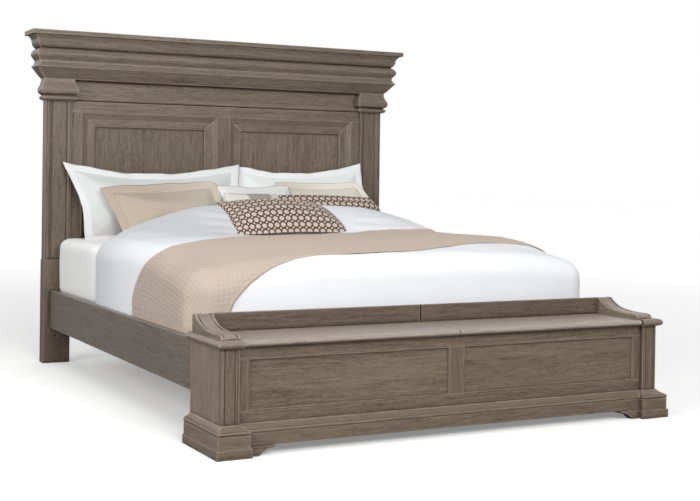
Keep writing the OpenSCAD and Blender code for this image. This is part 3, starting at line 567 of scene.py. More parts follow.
dress("head_panel_left", wood("head_panel_left_oak", "Z", (118, 106, 95), k=0.90, seed=12.4, figure=0.5, ring=0.026, contrast=1.15))
dress("head_panel_right", wood("head_panel_right_oak", "Z", (118, 106, 95), k=1.02, seed=13.7, figure=0.5, ring=0.026, contrast=1.15))
dress("head_panel_mouldings", wood("panel_moulding_oak", "X", HEAD, seed=14.2, figure=0.2, mitre=("Z", (0.4315, 0.3985, 0.951, 0.391)), glaze_and_shade=1.15))
dress("post_left", wood("post_left_oak", "Z", (122, 109, 98), k=0.86, seed=15.5, figure=0.4), 0.0015)
dress("post_right", wood("post_right_oak", "Z", (122, 109, 98), k=0.84, seed=16.9, figure=0.4), 0.0015)
dress("capitals", wood("capital_oak", "X", TOP, seed=17.2, figure=0.2, mitre=("Y", "normal"), glaze_and_shade=1.15, arris_wear_and_highlight=0.6))
dress("astragals", wood("astragal_oak", "X", TOP, seed=18.2, figure=0.2, mitre=("Y", "normal"), glaze_and_shade=1.15))
RAIL = (112, 104, 97)
dress("side_rail_left", wood("side_rail_left_oak", "Y", RAIL, seed=19.6, figure=0.3, smooth=True), 0.0015)
dress("side_rail_right", wood("side_rail_right_oak", "Y", RAIL, seed=20.4, figure=0.3, smooth=True), 0.0015)
for i, (n, g) in enumerate((("ledger_strips", "Y"), ("cross_slats", "X"), ("centre_beam", "Y"), ("centre_legs", "Z"), ("chest_floor", "X"),
                            ("chest_divider", "Y"), ("chest_back", "X"))):
    dress(n, wood(n + "_pine", g, (176, 150, 118), k=1.15, seed=21.5 + i, figure=0.4, ring=0.03, smooth=True, glaze_and_shade=0.4, arris_wear_and_highlight=0.3), 0.001)
# the chest sides are tinted paler than the front (k=1.3 and 1.2): painted light and sheen on the sides
dress("chest_side_left", wood("chest_side_left_oak", "Z", (120, 107, 95), k=1.3, seed=31.3, figure=0.45, ring=0.03, contrast=1.05), 0.001)
dress("chest_side_right", wood("chest_side_right_oak", "Z", (120, 107, 95), k=1.2, seed=32.7, figure=0.45, ring=0.03, contrast=1.05), 0.001)
dress("chest_corner_posts", wood("chest_post_oak", "Z", CHEST, seed=33.4, figure=0.3, glaze_and_shade=1.2), 0.0012)
dress("chest_top_rail", wood("chest_top_rail_oak", "X", CHEST, seed=34.8, figure=0.5), 0.001)
dress("chest_bottom_rail", wood("chest_bottom_rail_oak", "X", CHEST, seed=35.6, figure=0.5), 0.001)
dress("chest_front_stiles", wood("chest_stile_oak", "Z", CHEST, seed=36.2, figure=0.4), 0.001)
dress("chest_panel_left", wood("chest_panel_left_oak", "X", (119, 107, 93), seed=37.9, figure=0.85, ring=0.026, contrast=1.0, centre=(-0.10, 0.02)))
dress("chest_panel_right", wood("chest_panel_right_oak", "X", (115, 103, 89), seed=38.1, figure=0.85, ring=0.026, contrast=1.0, centre=(-0.12, -0.02)))
bl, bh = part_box("chest_panel_beads")
dress("chest_panel_beads", wood("panel_bead_oak", "X", CHEST, seed=39.5, figure=0.2,
                                mitre=("Z", (bh.x / 2 + 0.012, bh.x / 2 - 0.012, (bl.z + bh.z) / 2, (bh.z - bl.z) / 2)), glaze_and_shade=1.6, arris_wear_and_highlight=0.5))
dress("base_rail", wood("base_rail_oak", "X", CHEST, seed=40.3, figure=0.5), 0.0012)
dress("base_moulding_front", wood("base_moulding_oak", "X", CHEST, seed=41.1, figure=0.3, mitre=("Y", "normal"), glaze_and_shade=1.2))
dress("base_moulding_corners", wood("base_corner_oak", "X", CHEST, seed=42.6, figure=0.3, mitre=("Y", "normal"), glaze_and_shade=1.2))
dress("plinth_blocks", wood("plinth_block_oak", "X", CHEST, k=1.12, seed=43.4, figure=0.4, mitre=("Y", "normal")), 0.0012)
dress("plinth_shoes", wood("plinth_shoe_oak", "X", CHEST, seed=44.9, figure=0.4, mitre=("Y", "normal")), 0.0012)
dress("ogee_brackets", wood("bracket_oak", "X", CHEST, seed=45.7, figure=0.3), 0.001)
dress("end_caps", wood("end_cap_oak", "Y", TOP, seed=46.2, figure=0.3), 0.001)
dress("scroll_ears", wood("scroll_oak", "Y", TOP, k=1.12, seed=47.5, figure=0.3, glaze_and_shade=1.3, arris_wear_and_highlight=1.2))
dress("rear_boards", wood("rear_board_oak", "X", (112, 99, 88), k=0.84, seed=48.3, figure=0.5), 0.0012)
# the lids' paler tint (k=1.38) is painted sheen from the top light
for n, sd in (("lid_left", 49.8), ("lid_right", 50.4)):
    lid = wood(n + "_oak", "X", (126, 116, 108), k=1.38, seed=sd, figure=0.55, ring=0.03, centre=(0.05, -0.15), sheen=0.62)
    coat = lid.node_tree.nodes["Principled BSDF"]
    coat.inputs["Coat Weight"].default_value = 0.35
    coat.inputs["Coat Roughness"].default_value = 0.28
    dress(n, lid, 0.0012)
dress("rail_hook_plates", metal("zinc_steel", (0.62, 0.62, 0.60), 0.38))
dress("hinge_fixed_leaves", metal("aged_brass", (0.50, 0.38, 0.19), 0.34, 1.0))
dress("hinge_leaves_left", metal("aged_brass_left", (0.50, 0.38, 0.19), 0.34, 2.0))
dress("hinge_leaves_right", metal("aged_brass_right", (0.50, 0.38, 0.19), 0.34, 3.0))
dress("leg_glides", polymer("glide_plastic", (0.03, 0.03, 0.03), 0.45))
dress("lid_bumpers", polymer("bumper_rubber", (0.035, 0.033, 0.030), 0.7, 400.0))


# ------------------------------------------------------------------ mesh helpers
def mesh_object(name, verts_mm, faces, uv=None, material=None, smooth=True):
    """A mesh from layout millimetres. uv holds one (u, v) in metres a vertex."""
    co = np.array(verts_mm, float)
    co[:, 1] -= Y0
    co *= MM
    me = bpy.data.meshes.new(name)
    me.from_pydata(co.tolist(), [], [tuple(int(i) for i in f) for f in faces])
    if uv is not None:
        lay = me.uv_layers.new(name="rest")
        idx = np.zeros(len(me.loops), np.int32)
        me.loops.foreach_get("vertex_index", idx)
        lay.data.foreach_set("uv", np.asarray(uv, np.float32)[idx].ravel())
    me.polygons.foreach_set("use_smooth", [smooth] * len(me.polygons))
    me.validate()
    me.update()
    o = bpy.data.objects.new(name, me)
    bpy.context.scene.collection.objects.link(o)
    if material:
        me.materials.append(material)
    return o


def outward(o):
    bm = bmesh.new()
    bm.from_mesh(o.data)
    bmesh.ops.recalc_face_normals(bm, faces=bm.faces)
    if bm.calc_volume(signed=True) < 0:
        bmesh.ops.reverse_faces(bm, faces=bm.faces)
    bm.to_mesh(o.data)
    bm.free()
    return o


def blur(G, n):
    """Box blur of a grid, with its rim repeated."""
    for _ in range(2):
        for ax in (0, 1):
            pad = [(0, 0)] * G.ndim
            pad[ax] = (n, n)
            c = np.cumsum(np.pad(G, pad, mode="edge"), axis=ax)
            c = np.insert(c, 0, 0, axis=ax)
            m = G.shape[ax]
            G = (np.take(c, np.arange(2 * n + 1, 2 * n + 1 + m), axis=ax) - np.take(c, np.arange(m), axis=ax)) / (2 * n + 1)
    return G


def lattice_noise(shape, cells, seed):
    """Smooth value noise on a regular grid, from -1 to 1."""
    rng = np.random.default_rng(seed)
    gy, gx = max(2, int(cells[0]) + 3), max(2, int(cells[1]) + 3)
    g = rng.uniform(-1, 1, (gy, gx))
    y = np.linspace(0, gy - 2.001, shape[0])
    x = np.linspace(0, gx - 2.001, shape[1])
    yi, xi = y.astype(int), x.astype(int)
    fy, fx = y - yi, x - xi
    fy, fx = fy * fy * (3 - 2 * fy), fx * fx * (3 - 2 * fx)
    a = g[np.ix_(yi, xi)] * (1 - fx) + g[np.ix_(yi, xi + 1)] * fx
    b = g[np.ix_(yi + 1, xi)] * (1 - fx) + g[np.ix_(yi + 1, xi + 1)] * fx
    return a * (1 - fy)[:, None] + b * fy[:, None]


def ease(t):
    t = np.clip(t, 0, 1)
    return t * t * (3 - 2 * t)


def grid_faces(ny, nx, start=0, flip=False):
    i = np.arange(ny - 1)[:, None] * nx + np.arange(nx - 1)[None, :] + start
    f = np.stack([i, i + 1, i + nx + 1, i + nx], -1).reshape(-1, 4)
    return f[:, ::-1] if flip else f


def grid_normals(P):
    du = np.gradient(P, axis=1)
    dv = np.gradient(P, axis=0)
    n = np.cross(du, dv)
    return n / (np.linalg.norm(n, axis=-1, keepdims=True) + 1e-12)


def two_sided(name, front, back, uvgrid, material):
    """A closed sheet or pillow from two grids that share their rim."""
    ny, nx = front.shape[:2]
    idx = np.arange(ny * nx).reshape(ny, nx)
    back_idx = idx.copy()
    inner = np.zeros((ny, nx), bool)
    inner[1:-1, 1:-1] = True
    back_idx[inner] = ny * nx + np.arange(inner.sum())
    verts = np.concatenate([front.reshape(-1, 3), back[inner]])
    uv = np.concatenate([uvgrid.reshape(-1, 2), uvgrid[inner]])
    f = np.stack([idx[:-1, :-1], idx[:-1, 1:], idx[1:, 1:], idx[1:, :-1]], -1).reshape(-1, 4)
    b = np.stack([back_idx[:-1, :-1], back_idx[1:, :-1], back_idx[1:, 1:], back_idx[:-1, 1:]], -1).reshape(-1, 4)
    return outward(mesh_object(name, verts, np.concatenate([f, b]), uv, material))


def upsample(G, k):
    """Catmull-Rom refinement of a regular grid, k times along both axes."""
    def along(A):
        n = A.shape[0]
        t = np.linspace(0, n - 1, (n - 1) * k + 1)
        i = np.minimum(t.astype(int), n - 2)
        f = (t - i).reshape(-1, *([1] * (A.ndim - 1)))
        pad = np.concatenate([2 * A[:1] - A[1:2], A, 2 * A[-1:] - A[-2:-1]])
        p0, p1, p2, p3 = pad[i], pad[i + 1], pad[i + 2], pad[i + 3]
        return 0.5 * (2 * p1 + (p2 - p0) * f + (2 * p0 - 5 * p1 + 4 * p2 - p3) * f * f + (3 * p1 - p0 - 3 * p2 + p3) * f ** 3)
    A = along(G)
    return np.swapaxes(along(np.swapaxes(A, 0, 1)), 0, 1)


# ------------------------------------------------------------------ bedding: duvet surface
HX, RS, YF, RF = 965.5, 108.0, 44.0, 100.0
XT, YT = HX - RS, YF + RF
QARC = RS * math.pi / 2


def interp(x, table):
    t = np.array(table, float)
    return np.interp(x, t[:, 0], t[:, 1])


HEAD_Y = [(-966, 1300), (-900, 1345), (-840, 1400), (-780, 1450), (-700, 1520), (-600, 1592), (-500, 1642), (-400, 1676), (-300, 1692),
          (-100, 1704), (200, 1712), (450, 1722), (700, 1742), (820, 1790), (900, 1838), (966, 1862)]
HEAD_Z = [(-966, 676), (-900, 690), (-850, 712), (-800, 733), (-760, 746), (-700, 760), (-600, 783), (-500, 808), (-400, 828), (-300, 843),
          (-150, 851), (100, 854), (400, 852), (600, 845), (700, 838), (800, 822), (900, 806), (966, 800)]
RISE_Y = [(-966, 980), (-800, 1060), (-500, 1250), (-250, 1380), (0, 1400), (300, 1400), (500, 1370), (650, 1300), (800, 1250), (966, 1240)]


FOOT_R = ((0, 0.12, 0.2, 0.29, 0.43, 0.58, 0.70, 0.834, 1.0), (2, 6, 9, 13, 24, 43, 56, 66, 76))


def smooth_table(table, step=6.0):
    x = np.arange(-966, 967, step)
    y = interp(x, table)
    k = np.hanning(15)
    k /= k.sum()
    pad = np.concatenate([np.full(7, y[0]), y, np.full(7, y[-1])])
    return np.stack([x, np.convolve(pad, k, "valid")], -1)


HEAD_Y, HEAD_Z, RISE_Y = (smooth_table(t) for t in (HEAD_Y, HEAD_Z, RISE_Y))


def bed_top(x, y):
    """Height of the made bed's top over the plan."""
    ax = np.abs(x) / 860.0
    flat = 721.0 - np.where(x > 0, 1.0, 15.0) * np.clip(ax, 0, 1.12) ** 3
    s = np.clip((640.0 - y) / 560.0, 0, 1)
    mid = 34.0 * s ** 1.6
    left = 74.0 * s ** 1.1
    right = np.interp(s, FOOT_R[0], FOOT_R[1])
    w = np.clip(ax, 0, 1.1) ** 4
    flat = flat - mid * (1 - w) - np.where(x > 0, right, left) * w
    # the bed gives a little under the front lumbar pillow
    flat = flat - 32.0 * np.exp(-((x - 110.0) / 330.0) ** 4) * ease((y - 960.0) / 400.0)
    y1, y0, z1 = interp(x, HEAD_Y), interp(x, RISE_Y), interp(x, HEAD_Z)
    t = np.clip((y - y0) / (y1 - y0), 0, 1.1)
    shape = 0.35 * t ** 1.3 + 0.65 * ease(t / 1.02)
    straight = t * (1.75 - 1.05 * t + 0.3 * t * t)
    wr = ease((x - 450.0) / 350.0)
    shape = shape * (1 - wr) + straight * wr
    return flat + (z1 - flat) * np.clip(shape, 0, 1)


def bed_surface(a, b):
    """From flat cloth coordinates (a across, b towards the head, mm) to the draped place."""
    a, b = np.broadcast_arrays(np.asarray(a, float), np.asarray(b, float))
    da = np.clip(np.abs(a) - XT, 0, None)
    db = np.clip(YT - b, 0, None)
    rho = np.where(db > 0, np.where(da > 0, np.hypot(da, db), db), da)
    ang = np.where(rho > 0, np.arctan2(db, np.maximum(da, 1e-9)), 0.0)
    R = RS * np.cos(ang) ** 2 + RF * np.sin(ang) ** 2
    phi = np.minimum(rho / R, math.pi / 2)
    out = R * np.sin(phi)
    drop = R * (1 - np.cos(phi)) + np.clip(rho - R * math.pi / 2, 0, None)
    bx = np.clip(np.abs(a), 0, XT)
    by = np.maximum(b, YT)
    sg = np.sign(a)
    x = sg * (bx + out * np.cos(ang) * (da > 0))
    y = by - out * np.sin(ang) * (db > 0)
    z = bed_top(sg * bx, by) - drop
    # the foot end is a little bowed in plan, and rounds off at its corners
    bow = ease((620 - y) / 560.0)
    y = y + np.where(x > 0, 42.0, 78.0) * np.clip(np.abs(x) / HX, 0, 1) ** 4 * bow
    return np.stack([x, y, z], -1)


def wrinkles(P):
    """Soft folds over the bedding, in mm along the normal."""
    x, y, z = P[..., 0], P[..., 1], P[..., 2]
    f = np.zeros_like(x)

    def crease(x0, y0, x1, y1, width, height):
        dx, dy = x1 - x0, y1 - y0
        L = math.hypot(dx, dy)
        t = ((x - x0) * dx + (y - y0) * dy) / L ** 2
        s = ((x - x0) * -dy + (y - y0) * dx) / L
        s = s + 0.12 * L * np.sin(t * math.pi) * 0.5
        env = ease(t / 0.25) * ease((1 - t) / 0.45) * (z > 640)
        return height * env * (np.exp(-(s / width) ** 2) - 0.55 * np.exp(-((s - 1.5 * width) / width) ** 2))
    f += crease(-80, 1500, -470, 1330, 26, 10)
    f += crease(-60, 1520, -420, 1480, 30, 8)
    f += crease(-110, 1560, -380, 1590, 24, 6)
    f += crease(-60, 1480, -250, 1150, 34, 4)
    f += crease(480, 1500, 800, 1300, 36, 5)
    f += crease(520, 1560, 860, 1480, 30, 4)
    f += crease(-300, 560, 500, 420, 60, 3)
    f += crease(-700, 900, -900, 420, 46, 3)
    f += 2.4 * np.sin(x / 170.0 + 1.3 * np.sin(y / 260.0)) * np.cos(y / 230.0 + 0.8)
    f += 1.0 * np.sin(x / 61.0 + y / 95.0 + 2.0 * np.sin(y / 210.0))
    return f


# ------------------------------------------------------------------ duvet
WHITE = cotton("white_cotton_duvet", (0.895, 0.908, 0.94), 0.04, painted_head_shade=(0.02, 0.45, 0.76))


def make_duvet():
    side = QARC + 243.0
    amax = XT + side
    na, nb = 221, 190
    u = np.linspace(-1, 1, na)
    a = u * amax
    P = np.zeros((nb, na, 3))
    uv = np.zeros((nb, na, 2))
    bfoot = YT - (RF * math.pi / 2 + 205.0)
    bhead = interp(np.clip(a, -966, 966), HEAD_Y)
    # the sides of the head edge slant back down the flank on the near side
    fall = np.clip(np.abs(a) - XT, 0, None)
    bhead = bhead + np.where(a < 0, 62.0, -5.0) * ease(fall / 170.0)
    t = np.linspace(0, 1, nb) ** 0.93
    A = np.broadcast_to(a, (nb, na)).copy()
    B = bhead[None, :] * (1 - t[:, None]) + bfoot * t[:, None]
    # hem of the foot corners: keep the drop even round the corner
    da = np.clip(np.abs(A) - XT, 0, None)
    db = np.clip(YT - B, 0, None)
    rho = np.hypot(da, db)
    lim = RS * math.pi / 2 + 236.0
    both = (da > 0) & (db > 0) & (rho > lim)
    k = np.where(both, lim / np.maximum(rho, 1e-9), 1.0)
    A = np.where(both, np.sign(A) * (XT + da * k), A)
    B = np.where(both, YT - db * k, B)
    S = bed_surface(A, B)
    N = grid_normals(S)
    up = np.sign(N[..., 2:3].mean())
    N = N * (up if up else 1)
    loft = wrinkles(S) + 2.5 * lattice_noise((nb, na), (9, 11), 7) + 1.0 * lattice_noise((nb, na), (30, 34), 8)
    # hanging folds on the flanks and the foot
    hang = ease((da + db - 60) / 160.0)
    loft += hang * (2.2 * np.sin(B / 58.0 + 1.5 * np.sin(B / 137.0)) * (da > db) + 2.6 * np.sin(A / 64.0 + 1.3 * np.sin(A / 171.0)) * (db >= da))
    loft = np.clip(loft, -9, 12) * (1 - 0.75 * hang)
    # the seam of the cover near the turned edge
    dist = (B - bhead[None, :]) * -1.0
    sx = np.interp(np.abs(A[0]), [0, XT, XT + 120, XT + 220, XT + 340], [86, 120, 285, 250, 130])
    loft -= 2.2 * np.exp(-((dist - sx[None, :]) / 6.0) ** 2)
    P = S + N * loft[..., None]
    room = 968.0 + 9.0 * ease((P[..., 2] - 415) / 70.0)
    P[..., 0] = np.clip(P[..., 0], -room, room)
    # rounded turned edge at the head: rows that roll down to the mattress
    rows, nrow = [], 9
    edge, en = P[0], N[0]
    back = np.stack([np.zeros(na), np.ones(na), np.zeros(na)], -1)
    floor_z = np.where(np.abs(a) <= XT, 647.0, np.minimum(edge[:, 2] - 10, 647.0))
    thick = np.clip(edge[:, 2] - floor_z, 16, 58)
    thick = np.where(np.abs(a) > XT + 40, 20.0, thick)
    for i in range(1, nrow + 1):
        th = math.pi * i / nrow
        off = np.sin(th) * thick[:, None] * 0.5 * back - en * ((1 - math.cos(th)) * thick * 0.5)[:, None]
        rows.append(edge + off)
    outer = np.concatenate([np.array(rows)[::-1], P])
    # inner face
    thickness = 20.0
    inner_rows = P - N * thickness
    last = outer[0]
    inner = inner_rows.copy()
    inner[0] = last * 0.5 + inner[1] * 0.5
    front = np.concatenate([outer, P[-1:] * 0.5 + inner[-1:] * 0.5 - np.array([0, 0, 3.0])])
    # pair the outer grid with an inner grid of the same size
    ny = front.shape[0]
    back_grid = np.zeros_like(front)
    back_grid[nrow:nrow + nb] = inner
    for i in range(nrow):
        f = i / nrow
        back_grid[i] = outer[0] * (1 - f) + inner[0] * f
    back_grid[-1] = front[-1]
    back_grid[0] = front[0]
    # close the two side hems
    uvg = np.stack(np.meshgrid(a * MM, np.linspace(0, 2.3, ny)), -1)
    for col in (0, -1):
        front[:, col] = front[:, col] * 0.5 + back_grid[:, col] * 0.5
        back_grid[:, col] = front[:, col]
    o = two_sided("duvet_quilt", front, back_grid, uvg, WHITE)
    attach(o, BODY)
    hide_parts("duvet")
    return o


# ------------------------------------------------------------------ coverlet
COVER = quilt_cloth("matelasse_coverlet", (0.532, 0.434, 0.358), cell=0.020, line=0.15, ribs=True)
NEAR = [(-857, -202), (-830, -150), (-805, -60), (-791, -48), (-763, -17), (-736, 6), (-700, 24), (-659, 46), (-608, 68), (-559, 84), (-502, 102),
        (-451, 111), (-397, 119), (-320, 124), (-240, 130), (-149, 133), (-55, 145), (36, 163), (134, 182), (242, 230), (358, 294), (478, 351),
        (591, 391), (689, 408), (774, 410), (862, 380), (900, 340), (1000, 300), (1250, 280)]
FAR = [(-1250, 822), (-1213, 816), (-1158, 814), (-1123, 791), (-1087, 765), (-1051, 727), (-1016, 682), (-985, 642), (-955, 612), (-928, 592),
       (-900, 582), (-843, 604), (-763, 666), (-673, 752), (-580, 832), (-434, 915), (-317, 945), (-215, 985), (-119, 1030), (67, 1120), (196, 1200),
       (325, 1262), (440, 1310), (560, 1342), (643, 1328), (747, 1296), (848, 1290), (900, 1305), (1000, 1350), (1250, 1380)]


def trimmed_sheet(name, outer, inner, keep, uv, material):
    """A closed thin sheet from two grids, of which only the kept cells are used; the cut edge is closed all round."""
    ny, nx = outer.shape[:2]
    used = np.zeros((ny, nx), bool)
    for dy, dx in ((0, 0), (0, 1), (1, 0), (1, 1)):
        used[dy:ny - 1 + dy, dx:nx - 1 + dx] |= keep
    n = int(used.sum())
    num = np.full((ny, nx), -1)
    num[used] = np.arange(n)
    a, b, c, d = num[:-1, :-1], num[:-1, 1:], num[1:, 1:], num[1:, :-1]
    top = np.stack([a, b, c, d], -1)[keep]
    faces = [top, top[:, ::-1] + n]
    pad = np.pad(keep, 1)
    for sh, (p, q) in (((0, 1), (a, b)), ((2, 1), (c, d)), ((1, 0), (d, a)), ((1, 2), (b, c))):
        nb = pad[sh[0]:sh[0] + ny - 1, sh[1]:sh[1] + nx - 1]
        m = keep & ~nb
        faces.append(np.stack([q[m], p[m], p[m] + n, q[m] + n], -1))
    verts = np.concatenate([outer[used], inner[used]])
    uvs = np.concatenate([uv[used], uv[used]])
    o = mesh_object(name, verts, np.concatenate(faces), uvs, material)
    bm = bmesh.new()
    bm.from_mesh(o.data)
    bmesh.ops.remove_doubles(bm, verts=bm.verts, dist=0.00002)
    bmesh.ops.dissolve_degenerate(bm, edges=bm.edges, dist=0.00001)
    bm.to_mesh(o.data)
    bm.free()
    return outward(o)


def make_coverlet():
    cell, step = 20.0, 5.0
    amax = 1250.0
    a = np.arange(-amax, amax + 0.1, step)
    near, far = interp(a, NEAR), interp(a, FAR)
    # round the near left corner the hem keeps its height above the floor
    lim = amax - XT
    near = np.where(a < -XT, YT - np.sqrt(np.clip(lim ** 2 - (a + XT) ** 2, 0, None)), near)
    k = np.hanning(13)
    k /= k.sum()
    sm = lambda v: np.convolve(np.concatenate([np.full(6, v[0]), v, np.full(6, v[-1])]), k, "valid")
    near, far = np.where(a < -XT - 30, near, sm(near)), sm(far)
    b = np.arange(math.floor(near.min() / step) * step, far.max() + step, step)
    A, Bl = np.meshgrid(a, b)
    B = np.clip(Bl, near[None], far[None])
    rise = B[1:] - B[:-1]
    keep = (rise[:, :-1] + rise[:, 1:]) > 0.02
    S = bed_surface(A, B)
    full = bed_surface(A, Bl)
    N = grid_normals(full)
    N *= np.sign(N[..., 2].mean())
    base = wrinkles(S)
    da = np.clip(np.abs(A) - XT, 0, None)
    db = np.clip(YT - B, 0, None)
    hang = ease((np.hypot(da, db) - 60) / 160.0)
    base = base * (1 - 0.75 * hang) + 5.0
    # soft folds: two along the far edge at the right, long shallow ones in the drop at the corner
    s = (A + amax) / (2 * amax)
    t = (B - near[None]) / np.maximum(far - near, 1.0)[None]
    lane = lambda c, w, h, lo, hi: h * np.exp(-((1 - t - c) / w) ** 2) * ease((s - lo) / 0.08) * ease((hi - s) / 0.10)
    base += lane(0.08 + 0.34 * np.clip(s - 0.5, 0, 1), 0.05, 9.0, 0.50, 0.80)
    base += lane(0.02 + 0.12 * np.clip(s - 0.5, 0, 1), 0.022, 4.0, 0.53, 0.78)
    turn = np.arctan2(db, np.maximum(da, 1e-6))
    base += hang * ((da > 0) & (db > 0)) * (2.2 * np.sin(turn * 6.0 + 0.6) * ease(np.minimum(turn, math.pi / 2 - turn) / 0.4))
    valley = lambda c: np.abs(np.mod(c / cell + 0.5, 1.0) - 0.5) * 2
    low = np.minimum(valley(A), valley(B))
    slope_n = np.hypot(1, np.gradient(near, a))[None]
    slope_f = np.hypot(1, np.gradient(far, a))[None]
    hem = np.minimum.reduce([(B - near[None]) / slope_n, (far[None] - B) / slope_f, amax - np.abs(A)])
    inside = ease((hem - 14) / 6.0)
    quilt = np.power(np.clip(low, 0, 1), 0.6) * 1.4 * inside
    roll = 1.8 * (1 - inside) * ease(hem / 5.0) - 1.4 * np.exp(-((hem - 15) / 3.0) ** 2) - 3.0 * (1 - ease(hem / 4.0))
    outer = S + N * (base + quilt + roll)[..., None]
    inner = S + N * (base - 2.0)[..., None]
    # between the mattress and the rails the cloth is held flat
    for g, room in ((outer, 968.8), (inner, 967.2)):
        lim = room + 9.0 * ease((g[..., 2] - 415) / 70.0)
        g[..., 0] = np.clip(g[..., 0], -lim, lim)
    uv = np.stack([A * MM, B * MM], -1)
    o = trimmed_sheet("slanted_coverlet", outer, inner, keep, uv, COVER)
    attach(o, BODY)
    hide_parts("coverlet")
    return o


# ------------------------------------------------------------------ mattress and foundation
def soft_block(name, lo, hi, edge, plan, material, crown=0.0, bulge=0.0, step=18.0, seed=1, ripple=0.0, piping=0.0, uv_scale=MM):
    lo, hi = np.array(lo, float), np.array(hi, float)
    n = np.maximum(4, np.ceil((hi - lo) / step).astype(int))
    verts, faces = [], []
    for ax in range(3):
        o1, o2 = (ax + 1) % 3, (ax + 2) % 3
        for side in (0, 1):
            g1 = np.linspace(0, 1, n[o1] + 1)
            g2 = np.linspace(0, 1, n[o2] + 1)
            G1, G2 = np.meshgrid(g1, g2)
            p = np.zeros(G1.shape + (3,))
            p[..., ax] = side
            p[..., o1] = G1
            p[..., o2] = G2
            start = sum(len(v) for v in verts)
            verts.append(p.reshape(-1, 3))
            faces.append(grid_faces(G1.shape[0], G1.shape[1], start, flip=(side == 0)))
    P = lo + np.concatenate(verts) * (hi - lo)
    F = np.concatenate(faces)
    # plan corners, then the long edges
    ilo, ihi = lo[:2] + plan, hi[:2] - plan
    inner = np.clip(P[:, :2], ilo, ihi)
    d = P[:, :2] - inner
    m = np.max(np.abs(d), axis=1)
    L = np.linalg.norm(d, axis=1)
    P[:, :2] = inner + d * np.where(L > 0, m / np.maximum(L, 1e-9), 1)[:, None]
    # inset of every point from the plan outline
    q = np.minimum.reduce([P[:, 0] - lo[0], hi[0] - P[:, 0], P[:, 1] - lo[1], hi[1] - P[:, 1]])
    corner = (np.abs(d) > 0).all(axis=1)
    q = np.where(corner, plan - m, q)
    zc = (lo[2] + hi[2]) / 2
    hz = (hi[2] - lo[2]) / 2
    dz = np.abs(P[:, 2] - zc) - (hz - edge)
    near = (q < edge) & (dz > 0)
    u = np.clip(1 - q / edge, 0, 1)
    v = np.clip(dz / edge, 0, 1)
    mm_ = np.maximum(u, v)
    LL = np.hypot(u, v)
    kk = np.where(near & (LL > 0), mm_ / np.maximum(LL, 1e-9), 1)
    outdir = np.zeros((len(P), 2))
    outdir[:, 0] = np.where(np.abs(d[:, 0]) > 0, d[:, 0], 0)
    outdir[:, 1] = np.where(np.abs(d[:, 1]) > 0, d[:, 1], 0)
    # outward direction in plan from the nearest side
    cx, cy = (lo[0] + hi[0]) / 2, (lo[1] + hi[1]) / 2
    sx = np.minimum(P[:, 0] - lo[0], hi[0] - P[:, 0])
    sy = np.minimum(P[:, 1] - lo[1], hi[1] - P[:, 1])
    od = np.where((sx < sy)[:, None], np.stack([np.sign(P[:, 0] - cx), np.zeros(len(P))], -1), np.stack([np.zeros(len(P)), np.sign(P[:, 1] - cy)], -1))
    od = np.where(corner[:, None], outdir / np.maximum(np.linalg.norm(outdir, axis=1), 1e-9)[:, None], od)
    newq = edge - u * kk * edge
    P[:, :2] -= od * np.where(near, newq - q, 0)[:, None]
    P[:, 2] = np.where(near, zc + np.sign(P[:, 2] - zc) * (hz - edge + v * kk * edge), P[:, 2])
    # crown on top, a little bulge at the sides, piping lines
    r = np.clip(1 - ((P[:, 0] - cx) / (hi[0] - lo[0]) * 2) ** 4, 0, 1) * np.clip(1 - ((P[:, 1] - cy) / (hi[1] - lo[1]) * 2) ** 4, 0, 1)
    P[:, 2] += np.where(P[:, 2] > zc, crown * r * (P[:, 2] - zc) / hz, 0)
    wall = q < 1.0
    P[:, :2] += od * (np.where(wall, 1, 0) * bulge * (np.clip(1 - ((P[:, 2] - zc) / hz) ** 2, 0, 1) - 1))[:, None]
    if piping:
        for zz in (lo[2] + edge * 0.8, hi[2] - edge * 0.8):
            P[:, :2] += od * (np.where(q < edge, 1, 0) * piping * np.exp(-((P[:, 2] - zz) / 7.0) ** 2))[:, None]
    if ripple:
        rr = ripple * (np.sin(P[:, 0] / 53 + 2 * np.sin(P[:, 1] / 90)) * np.cos(P[:, 1] / 71 + 1.7 * np.sin(P[:, 0] / 120)))
        P[:, 2] += np.where(P[:, 2] > zc + hz * 0.6, rr, 0)
        P[:, :2] += od * (np.where(wall, 1, 0) * ripple * 0.7 * np.sin(P[:, 0] / 61 + P[:, 1] / 83 + P[:, 2] / 47))[:, None]
    uv = np.stack([P[:, 0] + 0.7 * P[:, 2], P[:, 1] + 0.7 * P[:, 2]], -1) * uv_scale
    o = mesh_object(name, P, F, uv, material)
    bm = bmesh.new()
    bm.from_mesh(o.data)
    bmesh.ops.remove_doubles(bm, verts=bm.verts, dist=0.0004)
    bmesh.ops.recalc_face_normals(bm, faces=bm.faces)
    bm.to_mesh(o.data)
    bm.free()
    o.data.polygons.foreach_set("use_smooth", [True] * len(o.data.polygons))
    return o


